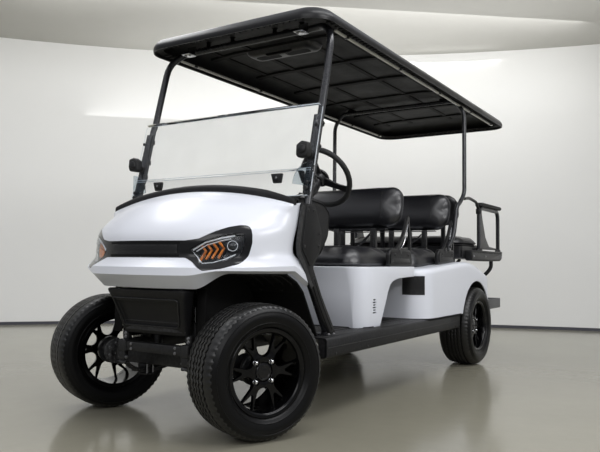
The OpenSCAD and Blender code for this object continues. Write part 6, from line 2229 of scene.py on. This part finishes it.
def rim_parts():
    """The cast wheel as a list of (part, finish), with +Z as its outer side."""
    r = RIM_RADIUS
    face = [(0, 46), (40, 46), (74, 48), (120, 52), (r - 4, 54), (r - 4, 66), (r - 12, 68.5), (128, 67.5),
            (92, 66.5), (72, 69), (66, 70.5), (50, 70.5), (44, 69), (40, 63), (0, 63)]
    cutters = []
    flare = ((38, -1.0), (60, 0.0), (64.5, 1.0), (68, 3.4), (76, 9.0))
    for k in range(6):
        for outline, turn, share in ((window_outline, 90 + 60 * k, 1.0), (notch_outline, 120 + 60 * k, 0.6)):
            rings = [[(x, y, z) for x, y in outline(r, grow * share)] for z, grow in flare]
            cutters.append(shifted(loft(rings), moved(turn=turn)))
        if k < 4:
            a = math.radians(45 + 90 * k)
            pocket = turned([(0, 58), (13, 58), (15, 66), (18, 74), (0, 74)], 24)
            cutters.append(shifted(pocket, moved(57 * math.cos(a), 57 * math.sin(a), 0)))
    disc = carve(turned(face, 96), cutters)
    barrel = [(r - 7, -103), (r + 15, -103), (r + 17, -101.5), (r + 17, -98), (r + 14, -97), (r + 3, -96),
              (r, -92), (r - 0.5, -60), (r - 0.5, 60), (r, 92), (r + 3, 96), (r + 14, 97), (r + 17, 98),
              (r + 17, 101.5), (r + 15, 103), (r + 4, 102.5), (r - 1, 100), (r - 5, 94), (r - 6.5, 84),
              (r - 7, 66), (r - 7, -90)]
    back_side = [(16.4, -30), (44, -30), (50, -24), (50, 47), (16.4, 47)]
    made = [(disc, "wheel"), (turned(barrel, 96, close=True), "wheel"),
            (turned(back_side, 48, close=True), "steel"), (turned([(16.4, -21.5), (66, -21.5), (69, -19.5),
                                                                   (69, 0), (66, 2.5), (16.4, 2.5)], 60,
                                                                  close=True), "steel")]
    cap = [(0, 62), (38.5, 62), (38.5, 66), (36, 69), (30, 70.2), (28, 68.6), (24, 68.4), (10, 69.8),
           (0, 70.0)]
    made.append((turned(cap, 48), "gloss_black"))
    for k in range(4):
        a = math.radians(45 + 90 * k)
        at = moved(57 * math.cos(a), 57 * math.sin(a), 0)
        made.append((shifted(rounded(prism(circle(9.5, 6), 57, 72, "z"), 1.2, 2), at), "bright"))
        made.append((shifted(turned([(0, 71), (8, 71), (6.8, 75.5), (3.6, 77.4), (0, 77.8)], 24), at),
                     "bright"))
        made.append((shifted(turned([(0, 57), (12, 57), (12, 59.5), (9, 61.5), (0, 61.5)], 24), at),
                     "bright"))
    a = math.radians(92)
    valve = shifted(turned([(0, 0), (4, 0), (4, 12), (2.8, 14), (2.8, 24), (0, 25)], 14),
                    moved((r - 9) * math.cos(a), (r - 9) * math.sin(a), 62))
    made.append((valve, "soft_rubber"))
    return made


def build_wheels():
    """Four wheels, each with its tyre."""
    rim = rim_parts()
    carcass = tyre_carcass()
    ribs = [tread_rib(low, low + wide, 4.0) for low, wide in ((-50, 20), (-19.5, 15), (4.5, 15), (30, 20))]
    tread = join(*ribs, shoulder_blocks())
    for corner in ("front_left", "front_right", "rear_left", "rear_right"):
        joint = JOINTS["wheel_" + corner + "_spin"]
        centre = Vector(joint["pos_m"]) * 1000.0 - Vector((0, AXLE_Y, 0))
        axis = Vector(joint["axis"])
        outer = axis if axis.x * centre.x > 0 else -axis
        at = aimed(centre, outer)
        wheel = Shape()
        for part, name in rim:
            wheel.add(part, name, at)
        wheel.piece("wheel_" + corner + "_cast", "wheel_" + corner, "wheel_gloss", ["rim_" + corner],
                    sharp=32)
        tyre = Shape()
        tyre.add(carcass, "rubber", at)
        tyre.add(tread, "tread", at)
        tyre.piece("tyre_" + corner + "_treaded", "wheel_" + corner, "tyre", ["tyre_" + corner], sharp=32)


# ---------------------------------------------------------------- stage

CAMERA_AT = Vector((2.25264, -4.140205, 0.767985))
CAMERA_YAW, CAMERA_PITCH, CAMERA_ROLL = 0.564373, 0.052525, 0.01049
CAMERA_LENS = 40.12


def surface_finish(name, first, second, roughness, spots, bump):
    """A mottled floor or wall, with colour from first to second, that a view from behind looks through."""
    made, tree, shader = new_material(name)
    large = tree.effect("tone", {"Scale": spots, "Contrast": 0.5})["Tone"]
    small = tree.effect("tone", {"Scale": spots * 9, "Contrast": 0.35})["Tone"]
    share = tree.math("ADD", tree.math("MULTIPLY", large, 0.65), tree.math("MULTIPLY", small, 0.35))
    made.node_tree.links.new(tree.blend(share, first, second), shader.inputs["Base Color"])
    made.node_tree.links.new(tree.remap(share, 0.0, 1.0, roughness * 1.25, roughness * 0.8),
                             shader.inputs["Roughness"])
    height = tree.node("Bump", {"Height": small, "Strength": 0.3, "Distance": bump})
    made.node_tree.links.new(height.outputs[0], shader.inputs["Normal"])
    behind = tree.node("NewGeometry").outputs["Backfacing"]
    through = tree.node("BsdfTransparent").outputs[0]
    seen = tree.node("MixShader", {0: behind, 1: shader.outputs[0], 2: through})
    made.node_tree.links.new(seen.outputs[0], made.node_tree.nodes["Material Output"].inputs["Surface"])
    return made


def stage_sheet(name, points, faces, made, smooth=False):
    """A surface of the studio, in metres."""
    mesh = bpy.data.meshes.new(name)
    mesh.from_pydata([tuple(p) for p in points], [], faces)
    mesh.polygons.foreach_set("use_smooth", [smooth] * len(faces))
    obj = bpy.data.objects.new(name, mesh)
    bpy.context.scene.collection.objects.link(obj)
    mesh.materials.append(made)


def build_floor_and_wall(stage):
    """The polished floor, the curved wall with a dark line at its foot, and a strip of ceiling."""
    start = Vector((CAMERA_AT.x, CAMERA_AT.y, 0))
    away = Vector((-math.sin(CAMERA_YAW), math.cos(CAMERA_YAW), 0))
    side = Vector((away.y, -away.x, 0))
    far = stage.wall_distance
    corners = [start + away * a + side * b for a, b in ((-5, -12), (-5, 12), (far + 1, 12), (far + 1, -12))]
    floor_colour, wall_colour = scaled(stage.floor_colour, 1.0), scaled(stage.wall_colour, 1.0)
    stage_sheet("studio_floor", corners, [(0, 1, 2, 3)],
                surface_finish("studio floor", floor_colour, scaled(floor_colour, 1.22), 0.15, 1.1, 0.002))
    rows, foot, over = [], [], []
    for b in range(33):
        t = -1 + 2 * b / 32
        base = start + away * (far - 3.4 * t * t) + side * (8.5 * t)
        inward = (start - base).normalized()
        top = base + Vector((0, 0, stage.wall_height))
        rows += [base, top]
        foot += [base + inward * 0.02, base + inward * 0.02 + Vector((0, 0, 0.035))]
        over += [top + inward * 2.0, top - inward * 0.1]
    faces = [(2 * i + 1, 2 * i + 3, 2 * i + 2, 2 * i) for i in range(32)]
    inwards = [tuple(reversed(face)) for face in faces]
    stage_sheet("studio_wall", rows, inwards,
                surface_finish("studio wall", wall_colour, scaled(wall_colour, 1.03), 0.8, 0.5, 0.0), True)
    pale = surface_finish("studio ceiling", rgb(196, 195, 190), rgb(202, 201, 196), 0.9, 0.5, 0.0)
    stage_sheet("studio_ceiling", over, faces, pale, True)
    # A dark strip along the foot of the wall, just off the floor.
    dark = surface_finish("studio skirting", rgb(58, 58, 66), rgb(72, 72, 80), 0.6, 3.0, 0.0)
    stage_sheet("studio_skirting", foot, inwards, dark, True)


def add_lamp(name, at, target, power, size):
    """A white panel of light that faces its target and does not show itself."""
    data = bpy.data.lights.new(name, "AREA")
    data.energy = power
    data.shape = "RECTANGLE"
    data.size, data.size_y = size
    lamp = bpy.data.objects.new(name, data)
    facing = (Vector(target) - Vector(at)).to_track_quat("-Z", "Y")
    lamp.matrix_world = Matrix.Translation(at) @ facing.to_matrix().to_4x4()
    lamp.visible_camera = False
    bpy.context.scene.collection.objects.link(lamp)
    return lamp


def build_lights(stage):
    """Soft panels of light, and a pale world that is brighter overhead and even where it shows."""
    level = stage.lamp_level
    add_lamp("overhead panel left", (1.9, -0.8, 3.9), (0.5, -0.4, 0.6), 64 * level, (3.6, 0.9))
    add_lamp("overhead panel right", (-2.3, -0.6, 3.9), (-0.3, -0.2, 0.6), 48 * level, (3.6, 0.9))
    add_lamp("front fill", (1.6, -5.6, 3.0), (0, 0, 0.8), 54 * level, (4.0, 2.0))
    add_lamp("side strip", (5.0, -1.6, 3.0), (0.5, 0.4, 0.8), 92 * level, (3.0, 1.0))
    add_lamp("wall wash", (-1.2, 1.4, 3.2), (-3.0, 3.6, 1.2), 52 * level, (6.0, 0.8))
    add_lamp("wall wash left", (-4.2, -2.2, 3.2), (-6.0, -0.6, 1.2), 26 * level, (3.0, 0.8))
    behind = add_lamp("rear fill", (-1.2, 3.7, 3.0), (-0.2, 1.2, 0.5), 42 * level, (2.4, 0.8))
    behind.visible_glossy = False
    add_lamp("ceiling wash", (-1.9, 2.2, 2.5), (-1.9, 2.2, 4.0), 34 * level, (7.0, 2.0))
    world = bpy.data.worlds.new("studio")
    bpy.context.scene.world = world
    world.use_nodes = True
    background = world.node_tree.nodes["Background"]
    background.inputs["Color"].default_value = rgb(238, 240, 246)
    tree = Tree(world.node_tree)
    rise = tree.node("SeparateXYZ", {0: tree.node("TexCoord").outputs["Generated"]}).outputs[2]
    seen = tree.node("LightPath").outputs["Is Camera Ray"]
    light = tree.remap(rise, 0.0, 0.7, 0.24 * level, 0.92 * level)
    shown = tree.node("Mix", {0: seen, 2: light, 3: 0.62}, data_type="FLOAT").outputs[0]
    world.node_tree.links.new(shown, background.inputs["Strength"])


def build_camera():
    """The camera at the front left of the cart, at waist height."""
    yaw, pitch, roll = CAMERA_YAW, CAMERA_PITCH, CAMERA_ROLL
    ahead = Vector((-math.sin(yaw) * math.cos(pitch), math.cos(yaw) * math.cos(pitch), math.sin(pitch)))
    level = Vector((math.cos(yaw), math.sin(yaw), 0))
    over = level.cross(ahead)
    right = level * math.cos(roll) + over * math.sin(roll)
    up = over * math.cos(roll) - level * math.sin(roll)
    data = bpy.data.cameras.new("camera")
    data.sensor_fit = "HORIZONTAL"
    data.sensor_width = 36.0
    data.lens = CAMERA_LENS
    data.clip_end = 100.0
    camera = bpy.data.objects.new("camera", data)
    turn = Matrix((right, up, -ahead)).transposed().to_4x4()
    camera.matrix_world = Matrix.Translation(CAMERA_AT) @ turn
    bpy.context.scene.collection.objects.link(camera)
    bpy.context.scene.camera = camera
    bpy.context.scene.view_settings.view_transform = "Standard"


# ---------------------------------------------------------------- add-on


class CartColours(bpy.types.PropertyGroup):
    """Colours of the main surfaces."""

    paint: bpy.props.FloatVectorProperty(name="Paint", description="Body paint", subtype="COLOR", size=3,
                                         min=0, max=1, default=(0.74, 0.76, 0.82))
    plastic: bpy.props.FloatVectorProperty(name="Plastic", description="Moulded trim, bumper and dash",
                                           subtype="COLOR", size=3, min=0, max=1,
                                           default=(0.0060, 0.0060, 0.0068))
    vinyl: bpy.props.FloatVectorProperty(name="Vinyl", description="Seat covers", subtype="COLOR", size=3,
                                         min=0, max=1, default=(0.0055, 0.0055, 0.0080))


class CartStage(bpy.types.PropertyGroup):
    """The studio around the cart."""

    floor_colour: bpy.props.FloatVectorProperty(name="Floor", description="Colour of the floor",
                                                subtype="COLOR", size=3, min=0, max=1,
                                                default=(0.24, 0.228, 0.178))
    wall_colour: bpy.props.FloatVectorProperty(name="Wall", description="Colour of the wall",
                                               subtype="COLOR", size=3, min=0, max=1,
                                               default=(0.80, 0.80, 0.785))
    wall_distance: bpy.props.FloatProperty(name="Wall distance", description="From the camera to the wall",
                                           default=8.3, min=7.5, max=20, unit="LENGTH", subtype="DISTANCE")
    wall_height: bpy.props.FloatProperty(name="Wall height", description="From the floor to the ceiling",
                                         default=3.35, min=2.5, max=8, unit="LENGTH", subtype="DISTANCE")
    lamp_level: bpy.props.FloatProperty(name="Lamp level", description="Brightness of all lamps together",
                                        default=0.93, min=0.1, max=4.0, subtype="FACTOR")


def build_stage():
    """Floor, wall, lights and camera."""
    stage = bpy.context.scene.cart_stage
    build_floor_and_wall(stage)
    build_lights(stage)
    build_camera()


def operator(idname, label, note, builders):
    """An operator that runs some builders and stops with an error if one of them fails."""

    def execute(self, context):
        for build in builders:
            build()
        return {"FINISHED"}

    return type("CART_OT_" + idname, (bpy.types.Operator,), {
        "bl_idname": "cart." + idname, "bl_label": label, "__doc__": note,
        "bl_options": {"REGISTER", "UNDO"},
        "execute": execute})


OPERATORS = [
    operator("front", "Front Cowl", "White cowl, lamps, grille strip and bumper", [build_front_cowl]),
    operator("cabin", "Dash and Controls", "Dash, kick panels, steering wheel, column and pedals",
             [build_dash, build_kick_panels, build_steering]),
    operator("roof", "Roof and Struts", "Roof canopy, struts and windscreen", [build_roof, build_struts,
                                                                               build_windshield]),
    operator("body", "Body and Floor", "Seat pod, rear body, floor mats and side steps",
             [build_seat_pod, build_rear_body, build_floor]),
    operator("seats", "Seats", "Bench cushions, seat backs and their frames",
             [build_seats, build_seat_frames]),
    operator("rear", "Rear Seat", "Flip seat, rails and foot plate",
             [build_rear_seat, build_armrests, build_footrest]),
    operator("chassis", "Chassis", "Frame, axles, springs, steering and battery",
             [build_frame, build_front_axle, build_knuckles, build_rear_axle, build_battery]),
    operator("wheels", "Wheels", "Cast wheels and tyres", [build_wheels]),
    operator("stage", "Studio", "Floor, wall, lights and camera", [build_stage]),
]


class CART_PT_panel(bpy.types.Panel):
    """Colours, studio settings and one button for each group of pieces."""

    bl_label = "Golf Cart"
    bl_space_type = "VIEW_3D"
    bl_region_type = "UI"
    bl_category = "Golf Cart"

    def draw(self, context):
        colours = self.layout.box()
        for name in ("paint", "plastic", "vinyl"):
            colours.prop(context.scene.cart_colours, name)
        studio = self.layout.box()
        for name in ("floor_colour", "wall_colour", "wall_distance", "wall_height", "lamp_level"):
            studio.prop(context.scene.cart_stage, name)
        for made in OPERATORS:
            self.layout.operator(made.bl_idname)


CLASSES = [CartColours, CartStage, *OPERATORS, CART_PT_panel]


def register():
    for made in CLASSES:
        bpy.utils.register_class(made)
    bpy.types.Scene.cart_colours = bpy.props.PointerProperty(type=CartColours)
    bpy.types.Scene.cart_stage = bpy.props.PointerProperty(type=CartStage)


def unregister():
    del bpy.types.Scene.cart_stage
    del bpy.types.Scene.cart_colours
    for made in reversed(CLASSES):
        bpy.utils.unregister_class(made)


def main():
    """Builds everything through the operators, and writes the size of the frame and of what was built."""
    register()
    for made in OPERATORS:
        result = getattr(bpy.ops.cart, made.bl_idname.split(".")[1])()
        if "FINISHED" not in result:
            raise RuntimeError(made.bl_idname + " did not finish")


if __name__ == "__main__":
    main()
